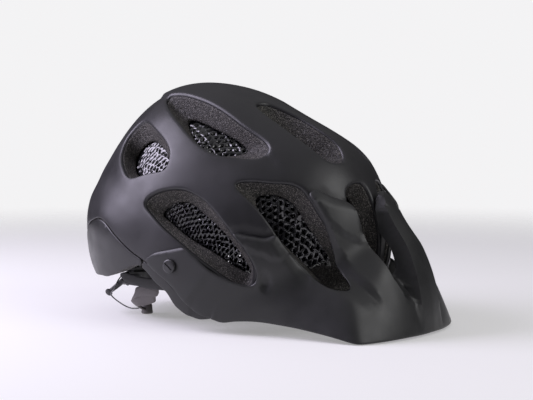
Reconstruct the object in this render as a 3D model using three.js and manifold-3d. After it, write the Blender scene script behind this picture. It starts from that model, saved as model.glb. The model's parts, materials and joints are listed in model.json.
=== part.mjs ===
// Mountain-bike helmet with a wavy-cell liner, a tilting visor and a lace-and-dial fit system.
// Millimetres, +Z up. The wearer faces -Y, and the wearer's left is +X.
// Each piece is drawn in the level helmet frame: origin at the dome's centre, crown along +Z.
// The whole helmet is then pitched nose-down, as it stands on its visor and rear cradle.
import * as THREE from 'three';
import { mergeVertices } from 'three/addons/utils/BufferGeometryUtils.js';
import Module from 'manifold-3d';

const wasm = await Module();
wasm.setup();

// ---- Driving dimensions (mm, degrees) ----
const PITCH = 25;                        // nose-down pitch of the standing helmet
const CENTRE_Y = 21.5;                   // dome centre behind the box's middle
const CENTRE_Z = 73;                     // dome centre above the ground
const SHELL = { side: 107, front: 147, rear: 150, top: 133 };
const FOAM_INSIDE = { side: 93, front: 129, rear: 127, top: 114 };
const CELL_INSIDE = { side: 80, front: 114, rear: 111, top: 99 };
const PLAN_POWER = 2;                    // dome sections across the helmet are ellipses
const SIDE_POWER = 2.5;                  // the side view is fuller than an ellipse
const SHELL_WALL = 1.5;
const LAYER_GAP = 0.7;
const REAR_BULGE = 6;
const PAD_LIFT = 1.8;
const PAD_THICKNESS = 5;
const SECTORS = 32;
const SHELL_RINGS = 9;
const WRAP_RINGS = 1;
const FRONT_WRAP = 1;                    // sectors from the front where the side wraps start
const REAR_WRAP = 10;                    // and where the rear shell takes over
const CELL_RINGS = 8;                    // the cell liner stops one ring above the seam
const VENT_POINTS = 12;
const PLUG_DEEP = 60;                    // vent plugs run from well inside the dome
const PLUG_PROUD = 300;                  // to well outside it

const VISOR_WALL = 2.6;
const VISOR_GAP = 1;
const PEAK_CROWN = 8;                    // how far the peak bows up between the dome and its edge
const SCOOP_DEPTH = 9;
const VISOR_LIFT = 15;                   // degrees of tilt that the visor needs room for
const PIVOT = { y: -7, z: -14 };
const SCREW = { head: 6.2, headHeight: 2.4, shaft: 2.5, bore: 3.1, slot: 1.4, slotDepth: 1.1,
  slotTurn: 14 };
const NUT = { outer: 6, inner: 2.9, from: 96.6, to: 103.4 };

const COLOURS = {
  shell: 0x141417, foam: 0x2b2826, cells: 0x0c0c0d, visor: 0x17171a, dark: 0x101012,
  grey: 0x5a5654, webbing: 0x151517, pad: 0x1b1b1d, lace: 0x8a8a8c, steel: 0x8e8f93,
};

// ---- Outlines on the dome, in degrees from the crown: [across, fore and aft], front negative ----
const VENTS = {
  side: {
    outer: [[-72, 34], [-64, 14], [-63, 0], [-65, -28], [-64, -53], [-69, -58], [-78, -46], [-85, -22],
      [-85, 4], [-80, 22]],
    inner: [[-74, 15], [-68, 2], [-69, -20], [-66, -46], [-67, -53], [-73, -44], [-80, -18], [-80, 4]],
  },
  brow: {
    outer: [[-49, -14], [-38, -26], [-31, -34], [-28, -50], [-22, -65], [-14, -77], [-24, -78], [-36, -69],
      [-46, -52], [-49, -32]],
    inner: [[-46, -28], [-39, -33], [-36, -46], [-31, -60], [-28, -68], [-35, -68], [-43, -53], [-48, -38]],
  },
  front: {
    outer: [[-14, -43], [-5, -43], [-3.2, -54], [-3, -68], [-3.4, -77], [-7, -72], [-12, -60], [-16, -50]],
    inner: [[-12, -46], [-6.5, -46], [-5, -56], [-5, -68], [-8, -66], [-12, -55]],
  },
  crown: {
    outer: [[-12, 8], [-7, 7], [-3.2, -4], [-3.6, -18], [-5, -28], [-9, -33], [-15, -31], [-17, -22],
      [-16, -8]],
    inner: [[-12, 0], [-8, -2], [-6, -14], [-8, -27], [-13, -28], [-15, -18], [-14, -6]],
  },
  top: {
    outer: [[-17, 46], [-21, 28], [-26, 6], [-29, -13], [-34, -13], [-39, -6], [-43, 6], [-41, 18],
      [-33, 32], [-24, 42]],
    inner: [[-24, 34], [-28, 14], [-32, -4], [-38, 0], [-40, 12], [-33, 26]],
  },
  rear: {
    outer: [[-27, 55], [-36, 43], [-49, 28], [-56, 27], [-58, 38], [-57, 51], [-48, 60], [-37, 65],
      [-29, 64]],
    inner: [[-38, 50], [-47, 34], [-54, 30], [-56, 40], [-53, 49], [-44, 56]],
  },
  exhaust: {
    outer: [[-14, 82], [-26, 83], [-36, 86], [-34, 94], [-22, 95], [-13, 92]],
    inner: [[-16, 84], [-26, 85], [-33, 88], [-31, 92], [-22, 92], [-15, 90]],
  },
};

// ---- Edge lines: [bearing from the front, value], read through a smooth curve ----
const RIM = [[0, 88], [22, 90], [38, 97], [48, 103], [58, 110], [68, 115.5], [78, 114.5], [88, 111],
  [98, 108], [108, 108], [117, 113], [127, 119], [138, 124.5], [150, 128], [165, 127], [180, 125]];
const SEAM = [[0, 83], [22, 85], [38, 91], [48, 97], [58, 104], [68, 109.5], [78, 109], [88, 106],
  [98, 102.5], [108, 101.5], [120, 100], [135, 99], [150, 106], [165, 110], [180, 112]];
const VISOR_TOP = [[0, 46], [2.5, 47.3], [5, 52], [9, 53], [18, 50.6], [28, 48.6], [37, 47], [43, 55],
  [49, 66.5], [57, 69], [66, 71], [76, 79], [84, 86], [96, 94], [103, 97]];
const VISOR_LOW = [[58, 108], [66, 110], [75, 108.5], [84, 105.5], [97, 103.5], [103, 101]];
const VISOR_EDGE_HEIGHT = [[0, 21], [12, 17.5], [25, 7], [32, -5], [39, -16], [49, -27], [58, -36]];
const VISOR_LEAVE = [[0, 49], [10, 54], [20, 63], [33, 70], [45, 82], [58, 100]];
const TONGUE_RISE = [[46, 5.5], [50, 7.5], [54, 8], [70, 8], [78, 4.5], [84, 0]];

const rad = THREE.MathUtils.degToRad;
const deg = THREE.MathUtils.radToDeg;
const vec = (x, y, z) => new THREE.Vector3(x, y, z);
const clamp01 = (x) => Math.min(1, Math.max(0, x));
const smooth = (x) => THREE.MathUtils.smoothstep(x, 0, 1);

// ---- Curves and surfaces ----

// A smooth curve through knots [x, value], held level past its ends.
function along(knots, x) {
  const last = knots.length - 1;
  if (x <= knots[0][0]) return knots[0][1];
  if (x >= knots[last][0]) return knots[last][1];
  let i = 0;
  while (x > knots[i + 1][0]) i += 1;
  const slope = (k) => {
    const a = knots[Math.max(0, k - 1)];
    const b = knots[Math.min(last, k + 1)];
    return (b[1] - a[1]) / (b[0] - a[0]);
  };
  const [x0, y0] = knots[i];
  const [x1, y1] = knots[i + 1];
  const h = x1 - x0;
  const t = (x - x0) / h;
  const ease = t * t * (3 - 2 * t);
  return y0 + (y1 - y0) * ease + h * t * (1 - t) * ((1 - t) * slope(i) - t * slope(i + 1));
}

function bearingDirection(bearing, theta) {
  const s = Math.sin(rad(theta));
  return vec(s * Math.sin(rad(bearing)), -s * Math.cos(rad(bearing)), Math.cos(rad(theta)));
}

function mapDirection([x, y]) {
  return bearingDirection(deg(Math.atan2(x, -y)), Math.hypot(x, y));
}

function domeRadius(d, size) {
  const length = d.y < 0 ? size.front : size.rear;
  const profile = (Math.abs(d.y) / length) ** SIDE_POWER + (Math.abs(d.z) / size.top) ** SIDE_POWER;
  const across = (Math.abs(d.x) / size.side) ** PLAN_POWER;
  return (across + profile ** (PLAN_POWER / SIDE_POWER)) ** (-1 / PLAN_POWER);
}

function shellRadius(d) {
  const theta = deg(Math.acos(THREE.MathUtils.clamp(d.z, -1, 1)));
  const bearing = Math.abs(deg(Math.atan2(d.x, -d.y)));
  const bulge = REAR_BULGE * smooth((theta - 88) / 26) * smooth((bearing - 105) / 35);
  return domeRadius(d, SHELL) + bulge;
}

const seamAngle = (bearing) => along(SEAM, Math.abs(bearing));
const rimAngle = (bearing) => along(RIM, Math.abs(bearing));

// The shared grid: rings 0 to SHELL_RINGS reach the seam, and WRAP_RINGS more reach the rim.
function gridTheta(bearing, ring) {
  const seam = seamAngle(bearing);
  if (ring <= SHELL_RINGS) return (seam * ring) / SHELL_RINGS;
  return seam + ((rimAngle(bearing) - seam) * (ring - SHELL_RINGS)) / WRAP_RINGS;
}

function gridPoint(sector, ring, radius) {
  const bearing = (((sector * 360) / SECTORS + 180) % 360) - 180;
  const whole = Math.floor(ring);
  const at = (r) => {
    const d = bearingDirection(bearing, gridTheta(bearing, r));
    return d.clone().multiplyScalar(radius(d));
  };
  return ring === whole ? at(whole) : at(whole).lerp(at(whole + 1), ring - whole);
}

// ---- Solids ----

function finish(positions, faces) {
  const geometry = new THREE.BufferGeometry();
  geometry.setAttribute('position', new THREE.Float32BufferAttribute(positions, 3));
  geometry.setIndex(faces);
  const p = geometry.getAttribute('position');
  const [a, b, c] = [vec(), vec(), vec()];
  let volume = 0;
  for (let i = 0; i < faces.length; i += 3) {
    a.fromBufferAttribute(p, faces[i]);
    b.fromBufferAttribute(p, faces[i + 1]);
    c.fromBufferAttribute(p, faces[i + 2]);
    volume += a.dot(b.cross(c));
  }
  if (volume < 0) {
    for (let i = 0; i < faces.length; i += 3) {
      [faces[i], faces[i + 1]] = [faces[i + 1], faces[i]];
    }
    geometry.setIndex(faces);
  }
  return geometry;
}

// A thick sheet from two matching point grids, closed round its border.
function sheet(outer, inner) {
  const rows = outer.length;
  const cols = outer[0].length;
  const positions = [];
  for (const grid of [outer, inner]) {
    for (const row of grid) row.forEach((p) => positions.push(p.x, p.y, p.z));
  }
  const faces = [];
  const id = (side, r, c) => side * rows * cols + r * cols + c;
  const quad = (a, b, c, d) => faces.push(a, b, c, a, c, d);
  for (let r = 0; r + 1 < rows; r += 1) {
    for (let c = 0; c + 1 < cols; c += 1) {
      quad(id(0, r, c), id(0, r, c + 1), id(0, r + 1, c + 1), id(0, r + 1, c));
      quad(id(1, r, c), id(1, r + 1, c), id(1, r + 1, c + 1), id(1, r, c + 1));
    }
  }
  for (let c = 0; c + 1 < cols; c += 1) {
    quad(id(0, 0, c), id(1, 0, c), id(1, 0, c + 1), id(0, 0, c + 1));
    quad(id(0, rows - 1, c), id(0, rows - 1, c + 1), id(1, rows - 1, c + 1), id(1, rows - 1, c));
  }
  for (let r = 0; r + 1 < rows; r += 1) {
    quad(id(0, r, 0), id(0, r + 1, 0), id(1, r + 1, 0), id(1, r, 0));
    quad(id(0, r, cols - 1), id(1, r, cols - 1), id(1, r + 1, cols - 1), id(0, r + 1, cols - 1));
  }
  return finish(positions, faces);
}

// A dome-shaped layer between two radius functions, from the crown to the given ring.
function domeLayer(outer, inner, lastRing) {
  const positions = [];
  const faces = [];
  const rings = Math.ceil(lastRing);
  const start = 1 + rings * SECTORS;
  for (const radius of [outer, inner]) {
    const top = gridPoint(0, 0, radius);
    positions.push(top.x, top.y, top.z);
    for (let ring = 1; ring <= rings; ring += 1) {
      for (let s = 0; s < SECTORS; s += 1) {
        const p = gridPoint(s, Math.min(ring, lastRing), radius);
        positions.push(p.x, p.y, p.z);
      }
    }
  }
  const id = (side, ring, s) => side * start + 1 + (ring - 1) * SECTORS + (s % SECTORS);
  for (let s = 0; s < SECTORS; s += 1) {
    faces.push(0, id(0, 1, s), id(0, 1, s + 1), start, id(1, 1, s + 1), id(1, 1, s));
    for (let ring = 1; ring < rings; ring += 1) {
      const [a, b, c, d] = [id(0, ring, s), id(0, ring, s + 1), id(0, ring + 1, s + 1), id(0, ring + 1, s)];
      faces.push(a, d, c, a, c, b);
      const [e, f, g, h] = [id(1, ring, s), id(1, ring, s + 1), id(1, ring + 1, s + 1), id(1, ring + 1, s)];
      faces.push(e, g, h, e, f, g);
    }
    const [a, b] = [id(0, rings, s), id(0, rings, s + 1)];
    const [c, d] = [id(1, rings, s + 1), id(1, rings, s)];
    faces.push(a, d, c, a, c, b);
  }
  return finish(positions, faces);
}

// A strip of the shell below the seam, between two bearings given in sectors.
function wrapStrip(fromSector, toSector) {
  const joint = 0.03;
  const columns = [fromSector + joint];
  for (let s = fromSector + 1; s < toSector; s += 1) columns.push(s);
  columns.push(toSector - joint);
  const rings = [SHELL_RINGS + 0.08];
  for (let r = SHELL_RINGS + 1; r <= SHELL_RINGS + WRAP_RINGS; r += 1) rings.push(r);
  const grid = (radius) => rings.map((ring) => columns.map((s) => {
    const whole = Math.floor(s);
    const a = gridPoint(whole, ring, radius);
    return s === whole ? a : a.lerp(gridPoint(whole + 1, ring, radius), s - whole);
  }));
  return sheet(grid(shellRadius), grid((d) => shellRadius(d) - SHELL_WALL));
}

function roundedOutline(points, count) {
  const curve = new THREE.CatmullRomCurve3(points.map(([x, y]) => vec(x, y, 0)), true, 'centripetal');
  return curve.getPoints(count).slice(0, count).map((p) => [p.x, p.y]);
}

const mirrored = (points) => points.map(([x, y]) => [-x, y]);

// A radial plug through levels [outline, radius], from the innermost level to the outermost.
function radialPlug(...levels) {
  const positions = [];
  for (const [line, radius] of levels) {
    line.forEach((point) => {
      const d = mapDirection(point);
      const p = d.clone().multiplyScalar(typeof radius === 'number' ? radius : radius(d));
      positions.push(p.x, p.y, p.z);
    });
  }
  const n = levels[0][0].length;
  const top = n * (levels.length - 1);
  const contour = levels[0][0].map(([x, y]) => new THREE.Vector2(x, y));
  const turn = THREE.ShapeUtils.area(contour) > 0;
  const faces = [];
  for (const [a, b, c] of THREE.ShapeUtils.triangulateShape(contour, [])) {
    faces.push(top + a, top + b, top + c, c, b, a);
  }
  for (let level = 0; level < top; level += n) {
    for (let i = 0; i < n; i += 1) {
      const [p, q] = [level + i, level + ((i + 1) % n)];
      if (turn) faces.push(p, q, n + q, p, n + q, n + p);
      else faces.push(p, n + q, q, p, n + p, n + q);
    }
  }
  return finish(positions, faces);
}

function solidOf(geometry) {
  const bare = geometry.clone();
  bare.deleteAttribute('normal');
  bare.deleteAttribute('uv');
  const merged = mergeVertices(bare, 1e-4);
  return new wasm.Manifold(new wasm.Mesh({
    numProp: 3,
    vertProperties: new Float32Array(merged.getAttribute('position').array),
    triVerts: new Uint32Array(merged.index.array),
  }));
}

function geometryOf(solid) {
  const mesh = solid.getMesh();
  const geometry = new THREE.BufferGeometry();
  geometry.setAttribute('position', new THREE.BufferAttribute(mesh.vertProperties, 3));
  geometry.setIndex(new THREE.BufferAttribute(mesh.triVerts, 1));
  return geometry;
}

const cut = (solid, ...tools) => tools.reduce((s, tool) => s.subtract(solidOf(tool)), solid);
const join = (first, ...rest) => geometryOf(rest.reduce((s, g) => s.add(solidOf(g)), solidOf(first)));

function boxAt(width, depth, height, centre, turn = [0, 0, 0]) {
  const geometry = new THREE.BoxGeometry(width, depth, height);
  geometry.applyMatrix4(new THREE.Matrix4().makeRotationFromEuler(new THREE.Euler(...turn.map(rad))));
  return geometry.translate(...centre);
}

// A cylinder whose axis runs along X, Y or Z.
function rod(radius, length, centre, axis = 'z', sides = 20) {
  const geometry = new THREE.CylinderGeometry(radius, radius, length, sides);
  if (axis === 'x') geometry.rotateZ(Math.PI / 2);
  if (axis === 'z') geometry.rotateX(Math.PI / 2);
  return geometry.translate(...centre);
}

function tube(points, radius, steps, sides = 8) {
  const path = new THREE.CatmullRomCurve3(points.map((p) => vec(...p)), false, 'centripetal');
  const section = new THREE.Shape();
  for (let i = 0; i < sides; i += 1) {
    const a = (i / sides) * 2 * Math.PI;
    if (i === 0) section.moveTo(radius, 0);
    else section.lineTo(radius * Math.cos(a), radius * Math.sin(a));
  }
  return new THREE.ExtrudeGeometry(section, { steps, bevelEnabled: false, extrudePath: path });
}

// A flat band through points, standing upright: its width runs along the given side direction.
function band(points, width, thickness, across, steps) {
  const path = new THREE.CatmullRomCurve3(points.map((p) => vec(...p)), false, 'centripetal');
  const grids = [[], []];
  for (let i = 0; i <= steps; i += 1) {
    const u = i / steps;
    const p = path.getPointAt(u);
    const t = path.getTangentAt(u);
    const side = typeof across === 'function' ? across(p, t) : vec(...across);
    side.addScaledVector(t, -side.dot(t)).normalize();
    const normal = t.clone().cross(side).normalize();
    const wide = typeof width === 'function' ? width(u) : width;
    grids.forEach((grid, k) => {
      const centre = p.clone().addScaledVector(normal, (k === 0 ? 0.5 : -0.5) * thickness);
      grid.push([-0.5, 0.5].map((w) => centre.clone().addScaledVector(side, w * wide)));
    });
  }
  return sheet(grids[0], grids[1]);
}

// A comfort pad on the cavity lining, between two bearings and two crown angles.
function pad([b0, b1], [t0, t1], cols = 6, rows = 3) {
  const grid = (lift) => {
    const lines = [];
    for (let r = 0; r <= rows; r += 1) {
      const theta = t0 + ((t1 - t0) * r) / rows;
      const line = [];
      for (let c = 0; c <= cols; c += 1) {
        const d = bearingDirection(b0 + ((b1 - b0) * c) / cols, theta);
        line.push(d.clone().multiplyScalar(domeRadius(d, CELL_INSIDE) - lift));
      }
      lines.push(line);
    }
    return lines;
  };
  return sheet(grid(PAD_LIFT), grid(PAD_LIFT + PAD_THICKNESS));
}

// ---- Visor surface ----

// The visor clears the shell at rest and at every tilt up to VISOR_LIFT.
function clearRadius(d) {
  let r = shellRadius(d) + VISOR_GAP;
  for (let lift = 0; lift <= VISOR_LIFT; lift += 3) {
    for (let pass = 0; pass < 3; pass += 1) {
      const p = d.clone().multiplyScalar(r);
      const [y, z] = [p.y - PIVOT.y, p.z - PIVOT.z];
      const [c, s] = [Math.cos(rad(lift)), Math.sin(rad(lift))];
      const q = vec(p.x, PIVOT.y + y * c + z * s, PIVOT.z - y * s + z * c);
      const reach = q.length();
      const need = shellRadius(q.normalize()) + VISOR_GAP;
      if (need > reach) r += need - reach;
    }
  }
  return r;
}

// Lower edge in the half-plane of a bearing: distance from the helmet's axis, and height.
function visorEdge(bearing) {
  const front = 213 - 3.5 * (bearing / 25) ** 2;
  const side = 90 / Math.max(0.05, Math.sin(rad(bearing)));
  const soft = 9;
  const gap = Math.sqrt((front - side) ** 2 + soft * soft);
  return [(front + side - gap) / 2, along(VISOR_EDGE_HEIGHT, bearing)];
}

const FREE_EDGE = 52;                    // past this bearing the visor's lower edge lies on the shell

function visorLow(bearing) {
  const free = () => {
    const [rho, height] = visorEdge(bearing);
    return deg(Math.atan2(rho, height));
  };
  const t = clamp01((bearing - FREE_EDGE) / 8);
  if (t === 0) return free();
  if (t === 1) return along(VISOR_LOW, bearing);
  return free() * (1 - t) + along(VISOR_LOW, bearing) * t;
}

function visorPeak(bearing, theta) {
  const leave = along(VISOR_LEAVE, bearing);
  if (theta <= leave || bearing > FREE_EDGE + 8) return 0;
  const start = bearingDirection(bearing, leave);
  const r = domeRadius(start, SHELL) + VISOR_GAP + 2;
  const [l, h] = [r * Math.sin(rad(leave)), r * Math.cos(rad(leave))];
  const [el, eh] = visorEdge(bearing);
  const [dl, dh] = [el - l, eh - h];
  const ray = (l * dh - h * dl) / (Math.sin(rad(theta)) * dh - Math.cos(rad(theta)) * dl);
  const past = Math.hypot(ray * Math.sin(rad(theta)) - l, ray * Math.cos(rad(theta)) - h);
  const s = clamp01(past / Math.hypot(dl, dh));
  return ray + PEAK_CROWN * Math.cos(rad(bearing)) ** 3 * 4 * s * (1 - s);
}

// A raised centre tongue, with a sunk scoop between it and the inner finger.
function visorRelief(bearing, theta) {
  const x = theta * Math.sin(rad(bearing));
  const sink = smooth((theta - 60) / 8) * (1 - smooth((theta - 73) / 5));
  const scoop = smooth((x - 6.4) / 1.2) * (1 - smooth((x - 11) / 3));
  return along(TONGUE_RISE, theta) * (1 - smooth((x - 4.6) / 1.6)) - SCOOP_DEPTH * sink * scoop;
}

function visorRadius(bearing, theta) {
  const b = Math.abs(bearing);
  const clear = clearRadius(bearingDirection(b, theta)) + VISOR_WALL;
  return Math.max(clear, Math.max(clear, visorPeak(b, theta)) + visorRelief(b, theta));
}

// ---- Sub-parts ----

function ventPlugs(makePlug) {
  const tools = [];
  for (const vent of Object.values(VENTS)) {
    const outer = roundedOutline(vent.outer, VENT_POINTS);
    const inner = roundedOutline(vent.inner, VENT_POINTS);
    tools.push(makePlug(outer, inner), makePlug(mirrored(outer), mirrored(inner)));
  }
  return tools;
}

const screwBores = (radius, from, to) => [-1, 1].map((side) => (
  rod(radius, to - from, [(side * (from + to)) / 2, PIVOT.y, PIVOT.z], 'x', 16)));

function outerShell() {
  const layer = domeLayer(shellRadius, (d) => shellRadius(d) - SHELL_WALL, SHELL_RINGS - 0.05);
  const plugs = ventPlugs((outer) => radialPlug([outer, PLUG_DEEP], [outer, PLUG_PROUD]));
  return geometryOf(cut(solidOf(layer), ...plugs, ...screwBores(SCREW.bore, 90, 120)));
}

function foamLiner() {
  const skin = SHELL_WALL + LAYER_GAP;
  const inside = (d) => domeRadius(d, FOAM_INSIDE);
  const layer = domeLayer((d) => shellRadius(d) - skin, inside, SHELL_RINGS + WRAP_RINGS);
  const plugs = ventPlugs((outer, inner) => radialPlug(
    [inner, PLUG_DEEP], [inner, inside], [outer, shellRadius], [outer, PLUG_PROUD]));
  return geometryOf(cut(solidOf(layer), ...plugs, ...screwBores(NUT.outer + 0.4, 96, 130)));
}

function cellLiner() {
  const outside = (d) => domeRadius(d, FOAM_INSIDE) - LAYER_GAP;
  return domeLayer(outside, (d) => domeRadius(d, CELL_INSIDE), CELL_RINGS);
}

function visor() {
  const half = [0, 3, 5, 6.6, 11, 16, 22, 28, 34, 41, 48, 55, 62, 70, 78, 86, 94, 102];
  const bearings = [...half.slice(1).reverse().map((b) => -b), ...half];
  const rows = 9;
  const grid = (lift) => {
    const lines = [];
    for (let r = 0; r <= rows; r += 1) {
      lines.push(bearings.map((bearing) => {
        const top = along(VISOR_TOP, Math.abs(bearing));
        const theta = top + ((visorLow(Math.abs(bearing)) - top) * r) / rows;
        return bearingDirection(bearing, theta).multiplyScalar(visorRadius(bearing, theta) - lift);
      }));
    }
    return lines;
  };
  const cuts = {
    side: [[-98, 24], [-86, -8], [-84, -30], [-78, -44], [-71, -53], [-64, -54], [-64, -40], [-64, -28],
      [-60, -15], [-60, 20], [-80, 34]],
    brow: [[-49, -14], [-38, -26], [-31, -36], [-30, -46], [-29, -58], [-28.6, -68], [-32, -71],
      [-38.5, -68], [-43.5, -60.5], [-47.5, -50], [-49, -38]],
    front: [[-18, -36], [-5.8, -36], [-5.8, -50], [-6.2, -60], [-7, -70], [-10.5, -73], [-13.4, -70],
      [-15, -60], [-16.4, -50]],
  };
  const plugs = [];
  for (const cutLine of Object.values(cuts)) {
    const outline = roundedOutline(cutLine, VENT_POINTS);
    for (const line of [outline, mirrored(outline)]) {
      plugs.push(radialPlug([line, PLUG_DEEP], [line, PLUG_PROUD]));
    }
  }
  const body = solidOf(sheet(grid(0), grid(VISOR_WALL)));
  return geometryOf(cut(body, ...plugs, ...screwBores(SCREW.bore, 90, 130)));
}

const armFace = () => {
  const d = vec(-Math.sqrt(1 - (PIVOT.y ** 2 + PIVOT.z ** 2) / 108 ** 2), PIVOT.y / 108, PIVOT.z / 108);
  return clearRadius(d.normalize()) + VISOR_WALL;
};

function visorScrew(side) {
  const face = armFace() + 0.4;
  const mid = face + SCREW.headHeight / 2;
  const head = rod(SCREW.head, SCREW.headHeight, [side * mid, PIVOT.y, PIVOT.z], 'x', 24);
  const tip = NUT.from + 1;
  const neck = face + 0.5;
  const shaft = rod(SCREW.shaft, neck - tip, [(side * (neck + tip)) / 2, PIVOT.y, PIVOT.z], 'x', 16);
  const top = [side * (face + SCREW.headHeight), PIVOT.y, PIVOT.z];
  const slot = boxAt(2 * SCREW.slotDepth, 2 * SCREW.head + 2, SCREW.slot, top, [SCREW.slotTurn, 0, 0]);
  return geometryOf(cut(solidOf(join(head, shaft)), slot));
}

function visorNut(side) {
  const mid = (NUT.from + NUT.to) / 2;
  const body = rod(NUT.outer, NUT.to - NUT.from, [side * mid, PIVOT.y, PIVOT.z], 'x', 6);
  const bore = rod(NUT.inner, 20, [side * mid, PIVOT.y, PIVOT.z], 'x', 16);
  return geometryOf(cut(solidOf(body), bore));
}

// ---- Fit system: headband arms, cradle, dial, laces ----

const DIAL = { y: 90, z: -79, radius: 15, thickness: 8, teeth: 20 };
const GUIDE_FOOT_Y = 44;                 // fore-and-aft place of the feet that the helmet stands on
const GUIDE_FOOT_RADIUS = 5.5;
const GUIDE_FOOT_SIDES = 15;

function headbandArm(side) {
  const line = [[65, 67, -68], [66, 40, -61.5], [66, 14, -50], [68, -16, -38], [68, -44, -25],
    [62, -66, -17]];
  const width = (u) => 8 + 3 * Math.sin(Math.PI * u);
  return band(line.map(([x, y, z]) => [side * x, y, z]), width, 1.6, [0, 0, 1], 12);
}

function rearCradle() {
  const half = [[0, 82, -86], [24, 81, -84], [44, 74, -79], [58, 62, -72], [62.5, 44, -64],
    [62.5, 26, -57]];
  const line = [...half.slice(1).reverse().map(([x, y, z]) => [-x, y, z]), ...half];
  const wings = band(line, 13, 2.2, [0, 0, 1], 20);
  const post = (side) => tube([[side * 44, 75, -81], [side * 45, 80, -91], [side * 45.5, 84, -98]], 1.8, 4);
  const foot = (side) => rod(4.2, 2.4, [side * 45.5, 84.5, -99], 'z', 14);
  const holes = [-1, 1].flatMap((side) => [14, 30].map((x) => rod(2.6, 20, [side * x, 82, -86], 'y', 12)));
  return geometryOf(cut(solidOf(join(wings, post(-1), post(1), foot(-1), foot(1))), ...holes));
}

// The lace guide's foot stands flat on the ground, so it is drawn level there.
function laceGuide(side) {
  const line = [[side * 60, 27, -69], [side * 58.6, 35, -78], [side * 56, 47, -88], [side * 47, 49, -93],
    [side * 38, 45, -97]];
  const arm = band(line, 7, 2.6, [0, 1, 0.1], 6);
  const round = new THREE.EllipseCurve(0, 0, GUIDE_FOOT_RADIUS, GUIDE_FOOT_RADIUS);
  const outline = new THREE.Shape(round.getPoints(GUIDE_FOOT_SIDES).slice(1));
  const foot = new THREE.ExtrudeGeometry(outline, { depth: 9, bevelEnabled: false });
  foot.translate(0, 0, -4.5).rotateX(-rad(PITCH));
  const ground = groundHeight(GUIDE_FOOT_Y);
  const lift = vec(0, Math.sin(rad(PITCH)), Math.cos(rad(PITCH))).multiplyScalar(4.5);
  foot.translate(side * 33, GUIDE_FOOT_Y + lift.y, ground + lift.z);
  return join(arm, foot);
}

// Height of the ground plane in the level helmet frame, at the fore-and-aft place y.
function groundHeight(y) {
  return -(CENTRE_Z + y * Math.sin(rad(PITCH))) / Math.cos(rad(PITCH));
}

function dialHousing() {
  const body = rod(12.5, 3.4, [0, DIAL.y - 4.6, DIAL.z], 'y', 28);
  const tabs = [-1, 1].map((side) => boxAt(7, 3, 8, [side * 14.5, DIAL.y - 4.6, DIAL.z]));
  const bore = rod(2.4, 20, [0, DIAL.y, DIAL.z], 'y', 16);
  return geometryOf(cut(solidOf(join(body, ...tabs)), bore));
}

function dialKnob() {
  const grip = new THREE.Shape();
  const count = DIAL.teeth * 4;
  for (let i = 0; i < count; i += 1) {
    const a = (i / count) * 2 * Math.PI;
    const r = DIAL.radius - (i % 4 < 2 ? 0 : 0.9);
    if (i === 0) grip.moveTo(r, 0);
    else grip.lineTo(r * Math.cos(a), r * Math.sin(a));
  }
  const knob = new THREE.ExtrudeGeometry(grip, { depth: DIAL.thickness, bevelEnabled: false });
  knob.rotateX(-Math.PI / 2).translate(0, DIAL.y - 2.4, DIAL.z);
  const axle = rod(2, 5, [0, DIAL.y - 4, DIAL.z], 'y', 16);
  const dish = rod(10.5, 3, [0, DIAL.y - 2.4 + DIAL.thickness, DIAL.z], 'y', 28);
  return geometryOf(cut(solidOf(join(knob, axle)), dish));
}

function lace(side) {
  const run = [[18.6, 85.4, -79], [30, 85, -80], [44, 80.5, -84], [52, 76, -90], [51, 78, -97],
    [47, 70, -101], [42, 58, -102], [39, 50.5, -98.5]];
  return tube(run.map(([x, y, z]) => [side * x, y, z]), 0.6, 26);
}

function heightStrip() {
  const strip = band([[0, 85.3, -62.6], [0, 91, -50], [0, 97, -34]], 12, 1.8, [1, 0, 0], 4);
  const holes = [-57, -50, -43].map((z) => rod(1.8, 40, [0, 90, z], 'y', 10));
  return geometryOf(cut(solidOf(strip), ...holes));
}

function heightRail() {
  return band([[0, 97.5, -52], [0, 101, -42], [0, 104.5, -28]], 20, 1.8, [1, 0, 0], 4);
}

function occipitalPad(side) {
  const line = [[8, 79, -86], [24, 78, -84], [42, 71.5, -79], [53, 62, -73.5]];
  return band(line.map(([x, y, z]) => [side * x, y, z]), 12, 3, [0, 0, 1], 6);
}

// ---- Straps, tucked up inside the cavity ----

const STRAP = { width: 15, thickness: 1.2, bearing: 88 };
const BUCKLE = { x: 17, y: 0, z: 86, length: 27, width: 24, height: 8 };
const BUTTON = { length: 11, width: 13, height: 2.4, proud: 0.9 };

// A point inside the lining: bearing, crown angle, and depth below the cells.
function inside([bearing, theta, depth]) {
  const d = bearingDirection(bearing, theta);
  return d.multiplyScalar(domeRadius(d, CELL_INSIDE) - depth);
}

const flatOnLining = (p, t) => t.clone().cross(p);

function webbing(points, steps, width = STRAP.width, thickness = STRAP.thickness) {
  return band(points.map((p) => inside(p).toArray()), width, thickness, flatOnLining, steps);
}

// A block turned to lie flat on the lining at a place inside it.
function liningBlock(width, height, depth, place) {
  const block = new THREE.BoxGeometry(width, height, depth);
  const outward = inside(place).normalize();
  const turn = new THREE.Matrix4().lookAt(outward, vec(0, 0, 0), vec(0, 0, 1));
  return block.applyMatrix4(turn).translate(...inside(place).toArray());
}

const strapAnchor = (side, bearing) => liningBlock(18, 9, 3, [side * bearing, 80, 6]);
const frontLeg = (side) => webbing([[side * 64, 80, 5.6], [side * 71, 80, 6], [side * 78, 80, 6.4]], 4);
const rearLeg = (side) => webbing([[side * 122, 80, 5.6], [side * 110, 80, 6], [side * 98, 80, 6.4]], 5);

function divider(side) {
  const body = liningBlock(24, 22, 5, [side * STRAP.bearing, 80, 6.6]);
  const recess = liningBlock(14, 14, 3, [side * STRAP.bearing, 80, 8.9]);
  return geometryOf(cut(solidOf(body), recess));
}

const dividerLever = (side) => liningBlock(13, 13, 1.8, [side * STRAP.bearing, 80, 9]);

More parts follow.
